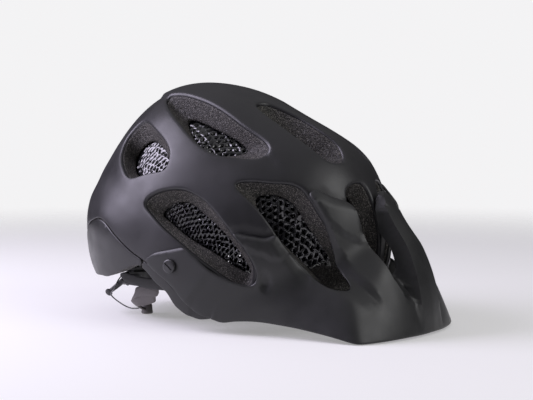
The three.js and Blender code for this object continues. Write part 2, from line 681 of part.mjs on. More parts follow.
function chinStrap(side) {
  const places = [64, 52, 38, 26].map((theta) => [side * STRAP.bearing, theta, 7]);
  const line = places.map((p) => inside(p).toArray());
  line.push([side * (BUCKLE.x + BUCKLE.length / 2 + 1.2), BUCKLE.y, BUCKLE.z]);
  return band(line, STRAP.width, STRAP.thickness, [0, 1, 0], 12);
}

const chinPad = () => webbing([51, 44, 36].map((theta) => [STRAP.bearing, theta, 10.4]), 5, 20, 4);

function strapKeeper(side) {
  const ring = liningBlock(20, 6, 5.2, [side * STRAP.bearing, 60, 7.1]);
  const gap = liningBlock(17, 20, 3.2, [side * STRAP.bearing, 60, 7.1]);
  return geometryOf(cut(solidOf(ring), gap));
}

function buckleSocket() {
  const shell = boxAt(BUCKLE.length, BUCKLE.width, BUCKLE.height, [BUCKLE.x, BUCKLE.y, BUCKLE.z]);
  const mouth = boxAt(20, 17, 3.4, [BUCKLE.x - 5, BUCKLE.y, BUCKLE.z + 0.6]);
  const floor = BUCKLE.z - BUCKLE.height / 2;
  const well = boxAt(BUTTON.length + 0.8, BUTTON.width + 0.8, 5, [BUCKLE.x, BUCKLE.y, floor]);
  return geometryOf(cut(solidOf(shell), mouth, well));
}

function bucklePlug() {
  const length = BUCKLE.length + 3;
  const body = boxAt(length, BUCKLE.width, BUCKLE.height, [-length / 2 + 3, BUCKLE.y, BUCKLE.z]);
  const tongue = boxAt(20, 16, 2.6, [10, BUCKLE.y, BUCKLE.z + 0.6]);
  return join(body, tongue);
}

function releaseButton() {
  const middle = BUCKLE.z - BUCKLE.height / 2 - BUTTON.proud;
  return boxAt(BUTTON.length, BUTTON.width, BUTTON.height, [BUCKLE.x, BUCKLE.y, middle]);
}

// ---- Assembly ----

function material(colour, roughness, metalness = 0) {
  return new THREE.MeshStandardMaterial({ color: colour, roughness, metalness });
}

const helmet = new THREE.Group();
helmet.rotation.x = rad(PITCH);
helmet.position.set(0, CENTRE_Y, CENTRE_Z);

function add(name, geometry, finishMaterial) {
  const mesh = new THREE.Mesh(geometry, finishMaterial);
  mesh.name = name;
  helmet.add(mesh);
}

const SIDES = { right: -1, left: 1 };
function addPair(name, make, makeMaterial) {
  for (const [word, side] of Object.entries(SIDES)) add(`${name}_${word}`, make(side), makeMaterial());
}

add('outer_shell', outerShell(), material(COLOURS.shell, 0.45));
add('rear_lower_shell', wrapStrip(REAR_WRAP, SECTORS - REAR_WRAP), material(COLOURS.shell, 0.5));
add('side_wrap_left', wrapStrip(FRONT_WRAP, REAR_WRAP), material(COLOURS.shell, 0.5));
add('side_wrap_right', wrapStrip(SECTORS - REAR_WRAP, SECTORS - FRONT_WRAP), material(COLOURS.shell, 0.5));
add('foam_liner', foamLiner(), material(COLOURS.foam, 0.9));
add('cell_liner', cellLiner(), material(COLOURS.cells, 0.25));
add('visor', visor(), material(COLOURS.visor, 0.55));
addPair('visor_screw', visorScrew, () => material(COLOURS.dark, 0.4));
addPair('visor_nut', visorNut, () => material(COLOURS.steel, 0.35, 0.8));

addPair('headband_arm', headbandArm, () => material(COLOURS.dark, 0.5));
add('rear_cradle', rearCradle(), material(COLOURS.dark, 0.5));
addPair('lace_guide', laceGuide, () => material(COLOURS.grey, 0.5));
add('dial_housing', dialHousing(), material(COLOURS.dark, 0.5));
add('dial_knob', dialKnob(), material(COLOURS.dark, 0.6));
addPair('lace', lace, () => material(COLOURS.lace, 0.4));
add('height_strip', heightStrip(), material(COLOURS.dark, 0.5));
add('height_rail', heightRail(), material(COLOURS.dark, 0.5));
addPair('occipital_pad', occipitalPad, () => material(COLOURS.pad, 0.95));

add('brow_pad', pad([-42, 42], [66, 73], 10, 2), material(COLOURS.pad, 0.95));
add('crown_pad_front', pad([-24, 24], [26, 48]), material(COLOURS.pad, 0.95));
add('crown_pad_rear', pad([154, 206], [26, 48]), material(COLOURS.pad, 0.95));
addPair('temple_pad', (side) => pad([side * 42, side * 70], [46, 64]), () => material(COLOURS.pad, 0.95));
addPair('side_pad', (side) => pad([side * 106, side * 132], [50, 68]), () => material(COLOURS.pad, 0.95));

addPair('strap_anchor_front', (side) => strapAnchor(side, 58), () => material(COLOURS.dark, 0.5));
addPair('strap_anchor_rear', (side) => strapAnchor(side, 128), () => material(COLOURS.dark, 0.5));
addPair('strap_front', frontLeg, () => material(COLOURS.webbing, 0.9));
addPair('strap_rear', rearLeg, () => material(COLOURS.webbing, 0.9));
addPair('strap_divider', divider, () => material(COLOURS.dark, 0.5));
addPair('divider_lever', dividerLever, () => material(COLOURS.dark, 0.5));
addPair('chin_strap', chinStrap, () => material(COLOURS.webbing, 0.9));
addPair('strap_keeper', strapKeeper, () => material(COLOURS.dark, 0.6));
add('chin_pad', chinPad(), material(COLOURS.pad, 0.95));
add('buckle_socket', buckleSocket(), material(COLOURS.dark, 0.5));
add('buckle_plug', bucklePlug(), material(COLOURS.dark, 0.5));
add('buckle_button', releaseButton(), material(COLOURS.dark, 0.5));

export default helmet;
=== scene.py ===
"""The looks of the mountain-bike helmet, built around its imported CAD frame.

Pieces are drawn in millimetres in the helmet's own level frame, like the CAD source: origin at the
dome's centre, crown along +Z, front along -Y, and the wearer's left along +X. world() pitches them
nose-down into the row frame. A place on the dome is a map point [across, fore and aft], in degrees
from the crown, with the front negative.
"""
import json
import math

import bmesh
import bpy
import numpy as np
from mathutils import Matrix, Vector
from mathutils.geometry import delaunay_2d_cdt
from mathutils.kdtree import KDTree

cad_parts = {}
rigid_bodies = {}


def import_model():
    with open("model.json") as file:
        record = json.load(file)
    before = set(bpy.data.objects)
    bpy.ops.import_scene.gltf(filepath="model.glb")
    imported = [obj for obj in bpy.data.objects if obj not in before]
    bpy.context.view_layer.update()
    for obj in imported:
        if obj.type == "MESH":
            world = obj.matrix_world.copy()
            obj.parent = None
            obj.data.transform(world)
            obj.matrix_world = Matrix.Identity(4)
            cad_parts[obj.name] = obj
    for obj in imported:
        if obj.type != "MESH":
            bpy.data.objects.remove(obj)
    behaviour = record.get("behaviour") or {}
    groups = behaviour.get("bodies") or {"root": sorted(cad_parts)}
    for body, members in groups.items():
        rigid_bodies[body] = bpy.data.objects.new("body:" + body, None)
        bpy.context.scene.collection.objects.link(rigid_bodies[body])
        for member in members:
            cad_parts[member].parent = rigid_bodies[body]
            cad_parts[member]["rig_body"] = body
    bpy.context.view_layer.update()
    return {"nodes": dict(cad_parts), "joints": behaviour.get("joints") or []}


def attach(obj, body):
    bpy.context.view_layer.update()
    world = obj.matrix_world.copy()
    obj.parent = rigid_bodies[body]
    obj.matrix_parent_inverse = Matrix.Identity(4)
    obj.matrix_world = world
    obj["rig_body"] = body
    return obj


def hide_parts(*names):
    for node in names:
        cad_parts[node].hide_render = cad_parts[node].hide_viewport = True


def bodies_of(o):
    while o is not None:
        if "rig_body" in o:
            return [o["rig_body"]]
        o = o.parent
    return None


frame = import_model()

JOINTS = {joint["name"]: joint for joint in frame["joints"]}

# ---- Driving dimensions (mm, degrees), the same as the CAD source's ----
PITCH = math.radians(25)
PIVOT = np.array([0.0, -7.0, -14.0])
SHELL = {"side": 107, "front": 147, "rear": 150, "top": 133}
FOAM_INSIDE = {"side": 93, "front": 129, "rear": 127, "top": 114}
CELL_INSIDE = {"side": 80, "front": 114, "rear": 111, "top": 99}
PLAN_POWER = 2
SIDE_POWER = 2.5
SHELL_WALL = 1.5
LAYER_GAP = 0.7
REAR_BULGE = 6
VISOR_WALL = 2.6
VISOR_GAP = 1
VISOR_LIFT = 15
PEAK_CROWN = 8
PAD_LIFT = 1.8
PAD_THICKNESS = 5
ARM_END = 102.5                          # bearing where the visor's arms end
OCCIPITAL_LINE = [[8, 79, -86], [24, 78, -84], [42, 71.5, -79], [53, 62, -73.5]]
FREE_EDGE = 52                           # past this bearing the visor's lower edge lies on the shell

VENTS = {
    "side": {
        "outer": [[-72, 34], [-64, 14], [-63, 0], [-65, -28], [-64, -53], [-69, -58], [-78, -46],
                  [-85, -22], [-85, 4], [-80, 22]],
        "inner": [[-76, 26], [-71, 21], [-67, 10], [-68, -12], [-66, -44], [-65, -55], [-72, -46],
                  [-81, -20], [-83, -2], [-80, 16]],
    },
    "brow": {
        "outer": [[-49, -14], [-38, -26], [-31, -34], [-28, -50], [-22, -65], [-14, -77], [-24, -78],
                  [-36, -69], [-46, -52], [-49, -32]],
        "inner": [[-45, -25], [-38, -29], [-33, -37], [-31, -50], [-27, -60], [-23, -70], [-28, -74],
                  [-37, -64], [-45, -50], [-48, -36]],
    },
    "front": {
        "outer": [[-14, -43], [-5, -43], [-3.2, -54], [-3, -68], [-3.4, -77], [-7, -72], [-12, -60],
                  [-16, -50]],
        "inner": [[-13, -45], [-7, -45], [-6, -56], [-5.5, -68], [-9, -68], [-14, -55]],
    },
    "crown": {
        "outer": [[-12, 8], [-7, 7], [-3.2, -4], [-3.6, -18], [-5, -28], [-9, -33], [-15, -31],
                  [-17, -22], [-16, -8]],
        "inner": [[-12, 0], [-8, -2], [-6, -14], [-8, -27], [-13, -28], [-15, -18], [-14, -6]],
    },
    "top": {
        "outer": [[-17, 46], [-21, 28], [-26, 6], [-29, -13], [-34, -13], [-39, -6], [-43, 6],
                  [-41, 18], [-33, 32], [-24, 42]],
        "inner": [[-23, 36], [-26, 20], [-30, -3], [-36, 2], [-40, 12], [-34, 27]],
    },
    "rear": {
        "outer": [[-27, 55], [-36, 43], [-49, 28], [-56, 27], [-58, 38], [-57, 51], [-48, 60],
                  [-37, 65], [-29, 64]],
        "inner": [[-30, 56], [-38, 44], [-47, 35], [-54, 34], [-55, 46], [-50, 57], [-40, 64],
                  [-30, 66]],
    },
    "exhaust": {
        "outer": [[-14, 82], [-26, 83], [-36, 86], [-34, 94], [-22, 95], [-13, 92]],
        "inner": [[-16, 84], [-26, 85], [-33, 88], [-31, 92], [-22, 92], [-15, 90]],
    },
}
VISOR_CUTS = {
    "side": [[-100, 24], [-94.5, 10], [-86, -8.5], [-85, -20], [-83, -33], [-78, -44], [-72.5, -51.5],
             [-66, -56.5], [-63.2, -54], [-63.4, -42], [-64.4, -29], [-60, -15], [-60, 20], [-80, 34]],
    "brow": [[-49, -14], [-38, -26], [-31.5, -35.5], [-30, -44], [-29, -56], [-28.6, -66], [-29, -70.8],
             [-33.5, -70.4], [-38.5, -68.2], [-43.5, -60.5], [-47.5, -50], [-48.8, -40], [-50, -30]],
    "front": [[-18, -36], [-5.8, -36], [-5.8, -50], [-6.2, -58], [-6.8, -66], [-8.2, -72], [-10.5, -72.6],
              [-13.2, -70.5], [-15, -60], [-16.4, -50]],
}
# Lines on the visor's right half: crests of the finger beside the tongue, and the scoops' low ends.
FINGER_REAR = [[-31, -36], [-29.2, -44], [-27.5, -58], [-25.5, -67], [-21.9, -76.4]]
FINGER_FRONT = [[-16.9, -50], [-16, -62], [-14.5, -71], [-11.5, -76.6]]
BROW_SCOOP_END = [[-38.5, -68.2], [-36, -70], [-33.6, -72.2], [-29.5, -75], [-21.9, -76.4]]
FRONT_SCOOP_END = [[-11.5, -76.6], [-6.8, -78]]
BROW_EDGE = [[-50, -30], [-48.8, -40], [-47.5, -50], [-43.5, -60.5], [-38.5, -68.2]]
# Edge lines: [bearing from the front, value].
RIM = [[0, 88], [22, 90], [38, 97], [48, 103], [58, 110], [66, 115.5], [78, 116], [86, 112], [94, 110.5],
       [101, 108], [107, 108], [114, 113], [121, 118], [128, 122], [136, 124], [150, 127], [165, 127],
       [180, 125]]
SEAM = [[0, 83], [22, 85], [38, 91], [48, 97], [58, 104], [68, 109.5], [78, 109], [86, 106.5], [94, 104.5],
        [104, 104], [112, 103.6], [122, 101.5], [135, 99], [145, 104], [156, 111], [170, 114], [180, 115]]
VISOR_TOP = [[0, 46], [2.5, 47.3], [5, 52], [9, 53], [18, 50.6], [28, 48.6], [37, 47], [43, 55], [49, 66.5],
             [57, 69], [66, 71], [76, 79], [84, 86], [96, 95], [103, 99]]
VISOR_LOW = [[58, 108], [66, 110], [75, 108.5], [84, 105.5], [97, 103.5], [103, 101]]
VISOR_EDGE_HEIGHT = [[0, 21], [12, 17.5], [25, 7], [32, -5], [39, -16], [49, -27], [58, -36]]
VISOR_LEAVE = [[0, 49], [10, 54], [20, 63], [33, 70], [45, 82], [58, 100]]
# Lines by crown angle or bearing: [angle, degrees or mm].
TONGUE_WIDTH = [[46, 3.4], [50, 4.3], [60, 5], [68, 5.8], [78, 6.8]]
TONGUE_RISE = [[46, 2.5], [49, 4], [54, 6.5], [60, 8], [70, 8], [78, 4.5], [84, 0]]
FINGER_LIFT = [[0, 3], [62, 3], [80, 1.2], [103, 0.6]]
BEVEL_WIDTH = [[0, 1.2], [12, 1.6], [18, 2.6], [37, 4], [46, 1.4], [103, 1.4]]
SEAT_START = [[12, 1.4], [40, 1.4], [48, 3], [70, 3]]
SEAT_DEPTH = 1.1


# ---- Frames ----
def tilted(points):
    """Helmet-frame points turned nose-down, still about the dome's centre."""
    p = np.asarray(points, float)
    c, s = math.cos(PITCH), math.sin(PITCH)
    return np.stack([p[..., 0], p[..., 1] * c - p[..., 2] * s, p[..., 1] * s + p[..., 2] * c], -1)


DOME_CENTRE = np.array(JOINTS["visor_tilt"]["pos_m"]) * 1000 - tilted(PIVOT)


def world(points):
    """Helmet-frame millimetres to row-frame metres."""
    return (tilted(points) + DOME_CENTRE) * 0.001


# ---- Curves ----
def along(knots, x):
    """A smooth curve through knots [x, value], held level past its ends."""
    k = np.asarray(knots, float)
    x = np.clip(np.asarray(x, float), k[0, 0], k[-1, 0])
    i = np.clip(np.searchsorted(k[:, 0], x, side="left") - 1, 0, len(k) - 2)
    before = np.maximum(np.arange(len(k)) - 1, 0)
    after = np.minimum(np.arange(len(k)) + 1, len(k) - 1)
    slope = (k[after, 1] - k[before, 1]) / (k[after, 0] - k[before, 0])
    h = k[i + 1, 0] - k[i, 0]
    t = (x - k[i, 0]) / h
    ease = t * t * (3 - 2 * t)
    bend = h * t * (1 - t) * ((1 - t) * slope[i] - t * slope[i + 1])
    return k[i, 1] + (k[i + 1, 1] - k[i, 1]) * ease + bend


def smooth(x):
    t = np.clip(x, 0, 1)
    return t * t * (3 - 2 * t)


def spline(points, closed=False, density=24):
    """Centripetal Catmull-Rom through the points, sampled densely."""
    p = np.asarray(points, float)
    if closed:
        p = np.vstack([p[-1], p, p[0], p[1]])
    else:
        p = np.vstack([2 * p[0] - p[1], p, 2 * p[-1] - p[-2]])
    out = []
    for i in range(1, len(p) - 2):
        a, b, c, d = p[i - 1:i + 3]
        t1 = max(np.linalg.norm(b - a), 1e-6) ** 0.5
        t2 = t1 + max(np.linalg.norm(c - b), 1e-6) ** 0.5
        t3 = t2 + max(np.linalg.norm(d - c), 1e-6) ** 0.5
        t = (t1 + (t2 - t1) * np.arange(density) / density)[:, None]
        e = (t1 - t) / t1 * a + t / t1 * b
        f = (t2 - t) / (t2 - t1) * b + (t - t1) / (t2 - t1) * c
        g = (t3 - t) / (t3 - t2) * c + (t - t2) / (t3 - t2) * d
        h = (t2 - t) / t2 * e + t / t2 * f
        k = (t3 - t) / (t3 - t1) * f + (t - t1) / (t3 - t1) * g
        out.append((t2 - t) / (t2 - t1) * h + (t - t1) / (t2 - t1) * k)
    if not closed:
        out.append(p[-2:-1])
    return np.vstack(out)


def evenly(line, count, closed=False):
    """The line sampled again at equal steps of length."""
    p = np.vstack([line, line[:1]]) if closed else np.asarray(line, float)
    reach = np.concatenate([[0], np.cumsum(np.linalg.norm(np.diff(p, axis=0), axis=1))])
    at = np.linspace(0, reach[-1], count + 1 if closed else count)
    if closed:
        at = at[:-1]
    return np.stack([np.interp(at, reach, p[:, k]) for k in range(p.shape[1])], -1)


def outline(points, count=120):
    return evenly(spline(points, closed=True), count, closed=True)


def mirrored(line):
    return np.asarray(line, float) * [-1, 1]


def area_of(loop):
    x, y = loop[:, 0], loop[:, 1]
    return 0.5 * float(np.sum(x * np.roll(y, -1) - np.roll(x, -1) * y))


def turned(loop, left):
    """The loop with its area on the left of its direction, or on the right."""
    return loop if (area_of(loop) > 0) == left else loop[::-1]


def shifted(loop, inset):
    """The loop moved to its left by a distance, in its own units."""
    ahead = np.roll(loop, -1, axis=0) - np.roll(loop, 1, axis=0)
    ahead /= np.linalg.norm(ahead, axis=1, keepdims=True)
    return loop + inset * np.stack([-ahead[:, 1], ahead[:, 0]], -1)


def rounded_corners(points, radius, steps=8):
    """A closed polygon with each sharp corner replaced by a curve of about that radius."""
    p = np.asarray(points, float)
    out = []
    for i in range(len(p)):
        a, b, c = p[i - 1], p[i], p[(i + 1) % len(p)]
        la, lc = np.linalg.norm(a - b), np.linalg.norm(c - b)
        u, v = (a - b) / la, (c - b) / lc
        if u @ v < -0.9:
            out.append(b)
            continue
        reach = min(radius, 0.45 * la, 0.45 * lc)
        start, end = b + u * reach, b + v * reach
        for t in np.linspace(0, 1, steps):
            out.append((1 - t) ** 2 * start + 2 * t * (1 - t) * b + t * t * end)
    return np.array(out)


def inside_loop(points, loop):
    """Which points lie inside a closed loop."""
    p, a = np.asarray(points, float), np.asarray(loop, float)
    b = np.roll(a, -1, axis=0)
    x, y = p[:, :1], p[:, 1:2]
    crosses = (a[:, 1] > y) != (b[:, 1] > y)
    with np.errstate(divide="ignore", invalid="ignore"):
        at = a[:, 0] + (y - a[:, 1]) / (b[:, 1] - a[:, 1]) * (b[:, 0] - a[:, 0])
    return (np.sum(crosses & (x < at), axis=1) % 2) == 1


# ---- Surfaces over the map ----
def polar(m):
    m = np.asarray(m, float)
    return np.hypot(m[..., 0], m[..., 1]), np.degrees(np.arctan2(m[..., 0], -m[..., 1]))


def map_point(bearing, theta):
    b = np.radians(bearing)
    return np.stack([theta * np.sin(b), -theta * np.cos(b)], -1)


def direction(m):
    theta, bearing = polar(m)
    s, b = np.sin(np.radians(theta)), np.radians(bearing)
    return np.stack([s * np.sin(b), -s * np.cos(b), np.cos(np.radians(theta))], -1)


def to_map(p):
    """The map point in the direction of a helmet-frame point."""
    p = np.asarray(p, float)
    length = np.linalg.norm(p, axis=-1)
    theta = np.degrees(np.arccos(np.clip(p[..., 2] / length, -1, 1)))
    return map_point(np.degrees(np.arctan2(p[..., 0], -p[..., 1])), theta)


def dome_radius(m, size):
    d = np.abs(direction(m))
    length = np.where(np.asarray(m)[..., 1] < 0, size["front"], size["rear"])
    profile = (d[..., 1] / length) ** SIDE_POWER + (d[..., 2] / size["top"]) ** SIDE_POWER
    across = (d[..., 0] / size["side"]) ** PLAN_POWER
    return (across + profile ** (PLAN_POWER / SIDE_POWER)) ** (-1 / PLAN_POWER)


PANEL_WIDTH = [[-30, 33], [-13, 29.5], [6, 26.5], [28, 22], [46, 16.5], [54, 8]]
PANEL_RISE = 2.6


def panel(m):
    """The raised centre panel between the two top vents."""
    x, y = np.abs(m[..., 0]), m[..., 1]
    across = 1 - smooth((x - along(PANEL_WIDTH, y) + 0.6) / 1.6)
    ends = smooth((y + 34) / 26) * (1 - smooth((y - 52.5) / 3))
    return PANEL_RISE * across * ends


def flats(m):
    """Shallow hollows where the dome is a little flatter than its formula."""
    x, y = np.abs(m[..., 0]), m[..., 1]
    rear = np.exp(-(((x - 28) / 20) ** 2 + ((y - 63) / 13) ** 2))
    crown = np.exp(-((x / 30) ** 2 + ((y + 2) / 20) ** 2))
    crown = crown + 0.5 * np.exp(-((x / 20) ** 2 + ((y - 30) / 14) ** 2))
    brow = np.exp(-(((x - 12) / 18) ** 2 + ((y + 28) / 12) ** 2))
    return 2.2 * rear + 3.0 * crown - 4.2 * brow


def seat(m):
    """The shallow step in which the visor's fingers lie."""
    theta, bearing = polar(m)
    b = np.abs(bearing)
    past = theta - along(VISOR_TOP, b) + along(SEAT_START, b)
    return SEAT_DEPTH * smooth(past / 0.6) * smooth((b - 10) / 3) * (1 - smooth((b - 68) / 4))


REAR_STEP = [[76, 0], [84, 1.2], [90, 3.4], [97, 4.0], [104, 1.8], [110, -1.4], [116, -2.8], [122, -4],
             [128, -6]]


def rear_step(theta):
    """The rear edge steps out above the lower shell and draws in below it."""
    return along(REAR_STEP, theta)


def shell_radius(m):
    theta, bearing = polar(m)
    behind = smooth((np.abs(bearing) - 105) / 35)
    bulge = REAR_BULGE * smooth((theta - 88) / 26) * behind + rear_step(theta) * behind
    return dome_radius(m, SHELL) + bulge + panel(m) - flats(m) - seat(m)


def folded(bearing):
    """The bearing's distance from the front, 0 to 180."""
    return np.abs((np.asarray(bearing, float) + 180) % 360 - 180)


def rim_angle(bearing):
    return along(RIM, folded(bearing))


def seam_angle(bearing):
    return along(SEAM, folded(bearing))


# ---- Meshes ----
def new_object(name, shape):
    """A mesh object in the row frame, from a Shape."""
    mesh = bpy.data.meshes.new(name)
    points = world(np.asarray(shape.points, float))
    faces = [tuple(int(i) for i in face) for face in shape.faces]
    mesh.from_pydata([tuple(point) for point in points], [], faces)
    obj = bpy.data.objects.new(name, mesh)
    bpy.context.scene.collection.objects.link(obj)
    return obj


def loose(name, shape):
    """A mesh object that isn't a piece yet, with its faces pointing out."""
    obj = new_object(name, shape)
    bm = bmesh.new()
    bm.from_mesh(obj.data)
    bmesh.ops.recalc_face_normals(bm, faces=bm.faces)
    bm.to_mesh(obj.data)
    bm.free()
    return obj


def body_of(node):
    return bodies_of(frame["nodes"][node])[0]


def place(name, shape, finish, node, smooth_angle=None, replaces=True):
    """A piece from a Shape. It rides with a CAD node, and stands for it if it replaces it."""
    obj = new_object(name, shape)
    obj.data.validate()
    return settle(obj, finish, node, smooth_angle, replaces)


def settle(obj, finish, node, smooth_angle=None, replaces=True):
    """Makes an object a piece, with its material, smooth shading and body."""
    mesh = obj.data
    bm = bmesh.new()
    bm.from_mesh(mesh)
    bmesh.ops.recalc_face_normals(bm, faces=bm.faces)
    if smooth_angle is not None:
        limit = math.radians(smooth_angle)
        for edge in bm.edges:
            edge.smooth = len(edge.link_faces) == 2 and edge.calc_face_angle(0) < limit
    for face in bm.faces:
        face.smooth = True
    bm.to_mesh(mesh)
    bm.free()
    mesh.materials.clear()
    mesh.materials.append(finish)
    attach(obj, body_of(node))
    if replaces:
        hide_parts(node)
    return obj


def hex_grid(loop, spacing):
    (x0, y0), (x1, y1) = loop.min(0), loop.max(0)
    rows = []
    step = spacing * math.sqrt(3) / 2
    for k, y in enumerate(np.arange(y0, y1 + step, step)):
        xs = np.arange(x0 + (k % 2) * spacing / 2, x1 + spacing, spacing)
        rows.append(np.stack([xs, np.full_like(xs, y)], -1))
    return np.vstack(rows)


def filled(border, holes, spacing, lines=()):
    """Triangles over the region inside border and outside holes, with lines kept as edges.
    Returns the points, with the loops first, and the triangles."""
    loops = [border, *holes]
    fixed = [*loops, *lines]
    tree = KDTree(sum(len(l) for l in fixed))
    for k, p in enumerate(np.vstack(fixed)):
        tree.insert((p[0], p[1], 0), k)
    tree.balance()
    grid = hex_grid(border, spacing)
    keep = inside_loop(grid, border)
    for hole in holes:
        keep &= ~inside_loop(grid, hole)
    grid = grid[keep]
    far = [tree.find((p[0], p[1], 0))[2] > 0.6 * spacing for p in grid]
    points = np.vstack([*fixed, grid[np.array(far, bool)]])
    edges = []
    start = 0
    for k, line in enumerate(fixed):
        n = len(line)
        last = n if k < len(loops) else n - 1
        edges += [(start + i, start + (i + 1) % n) for i in range(last)]
        start += n
    made = delaunay_2d_cdt([Vector(p) for p in points], edges, [], 0, 1e-5)
    source = [ids[0] if ids else -1 for ids in made[3]]
    extra = [k for k, s in enumerate(source) if s < 0]
    if extra:
        points = np.vstack([points, [[made[0][k].x, made[0][k].y] for k in extra]])
        for n, k in enumerate(extra):
            source[k] = len(points) - len(extra) + n
    faces = np.array([[source[v] for v in face] for face in made[2]])
    middles = points[faces].mean(1)
    keep = inside_loop(middles, border)
    for hole in holes:
        keep &= ~inside_loop(middles, hole)
    return points, faces[keep]


class Shape:
    """Helmet-frame points and faces gathered for one mesh."""

    def __init__(self):
        self.points = []
        self.faces = []

    def add(self, points):
        start = len(self.points)
        self.points.extend(np.asarray(points, float))
        return np.arange(start, start + len(points))

    def strip(self, a, b, closed=True, flip=False):
        """Quads between two rows of vertex ids."""
        n = len(a)
        for i in range(n if closed else n - 1):
            j = (i + 1) % n
            quad = [a[i], a[j], b[j], b[i]]
            self.faces.append(quad[::-1] if flip else quad)

    def rings(self, rows):
        """Faces between rows of equal length. A row may be one point repeated."""
        for a, b in zip(rows, rows[1:]):
            for i in range(len(a)):
                j = (i + 1) % len(a)
                face = list(dict.fromkeys(int(v) for v in (a[i], a[j], b[j], b[i])))
                if len(face) > 2:
                    self.faces.append(face)

    def triangles(self, ids, faces, flip=False):
        for a, b, c in faces:
            self.faces.append([ids[c], ids[b], ids[a]] if flip else [ids[a], ids[b], ids[c]])


def on_map(m, radius):
    return direction(m) * np.asarray(radius)[..., None]


def fill_face(shape, ends, radius, spacing, flip, lines=()):
    """Triangles across one face of a sheet. ends lists the loops round it, with their rows of ids."""
    flat, faces = filled(ends[0][0], [loop for loop, _ in ends[1:]], spacing, lines)
    ids = np.concatenate([row for _, row in ends])
    rest = flat[len(ids):]
    ids = np.concatenate([ids, shape.add(on_map(rest, radius(rest)))])
    shape.triangles(ids, faces, flip)


ROUND_EDGE = [(0, 0.5, 0), (0.12, 0.24, 0.24), (0.3, 0.08, 0.08), (0.6, 0, 0)]


def dome_sheet(border, holes, outer, wall, spacing, edge, hole_edge=None, lines=(), inner_spacing=None):
    """A closed sheet over a map region. edge lists (inset in degrees, outer drop, inner rise) in mm."""
    shape = Shape()
    loops = [turned(border, True)] + [turned(hole, False) for hole in holes]
    outer_ends, inner_ends = [], []
    for k, loop in enumerate(loops):
        profile = edge if k == 0 or hole_edge is None else hole_edge
        rim = shape.add(on_map(loop, outer(loop) - profile[0][1]))
        above, below = rim, rim
        for inset, drop, rise in profile[1:]:
            moved = shifted(loop, inset)
            top = shape.add(on_map(moved, outer(moved) - drop))
            low = shape.add(on_map(moved, outer(moved) - wall + rise))
            shape.strip(above, top)
            shape.strip(below, low, flip=True)
            above, below = top, low
        outer_ends.append((shifted(loop, profile[-1][0]), above))
        inner_ends.append((shifted(loop, profile[-1][0]), below))
    fill_face(shape, outer_ends, outer, spacing, False, lines)
    fill_face(shape, inner_ends, lambda m: outer(m) - wall, inner_spacing or 2 * spacing, True, lines)
    return shape


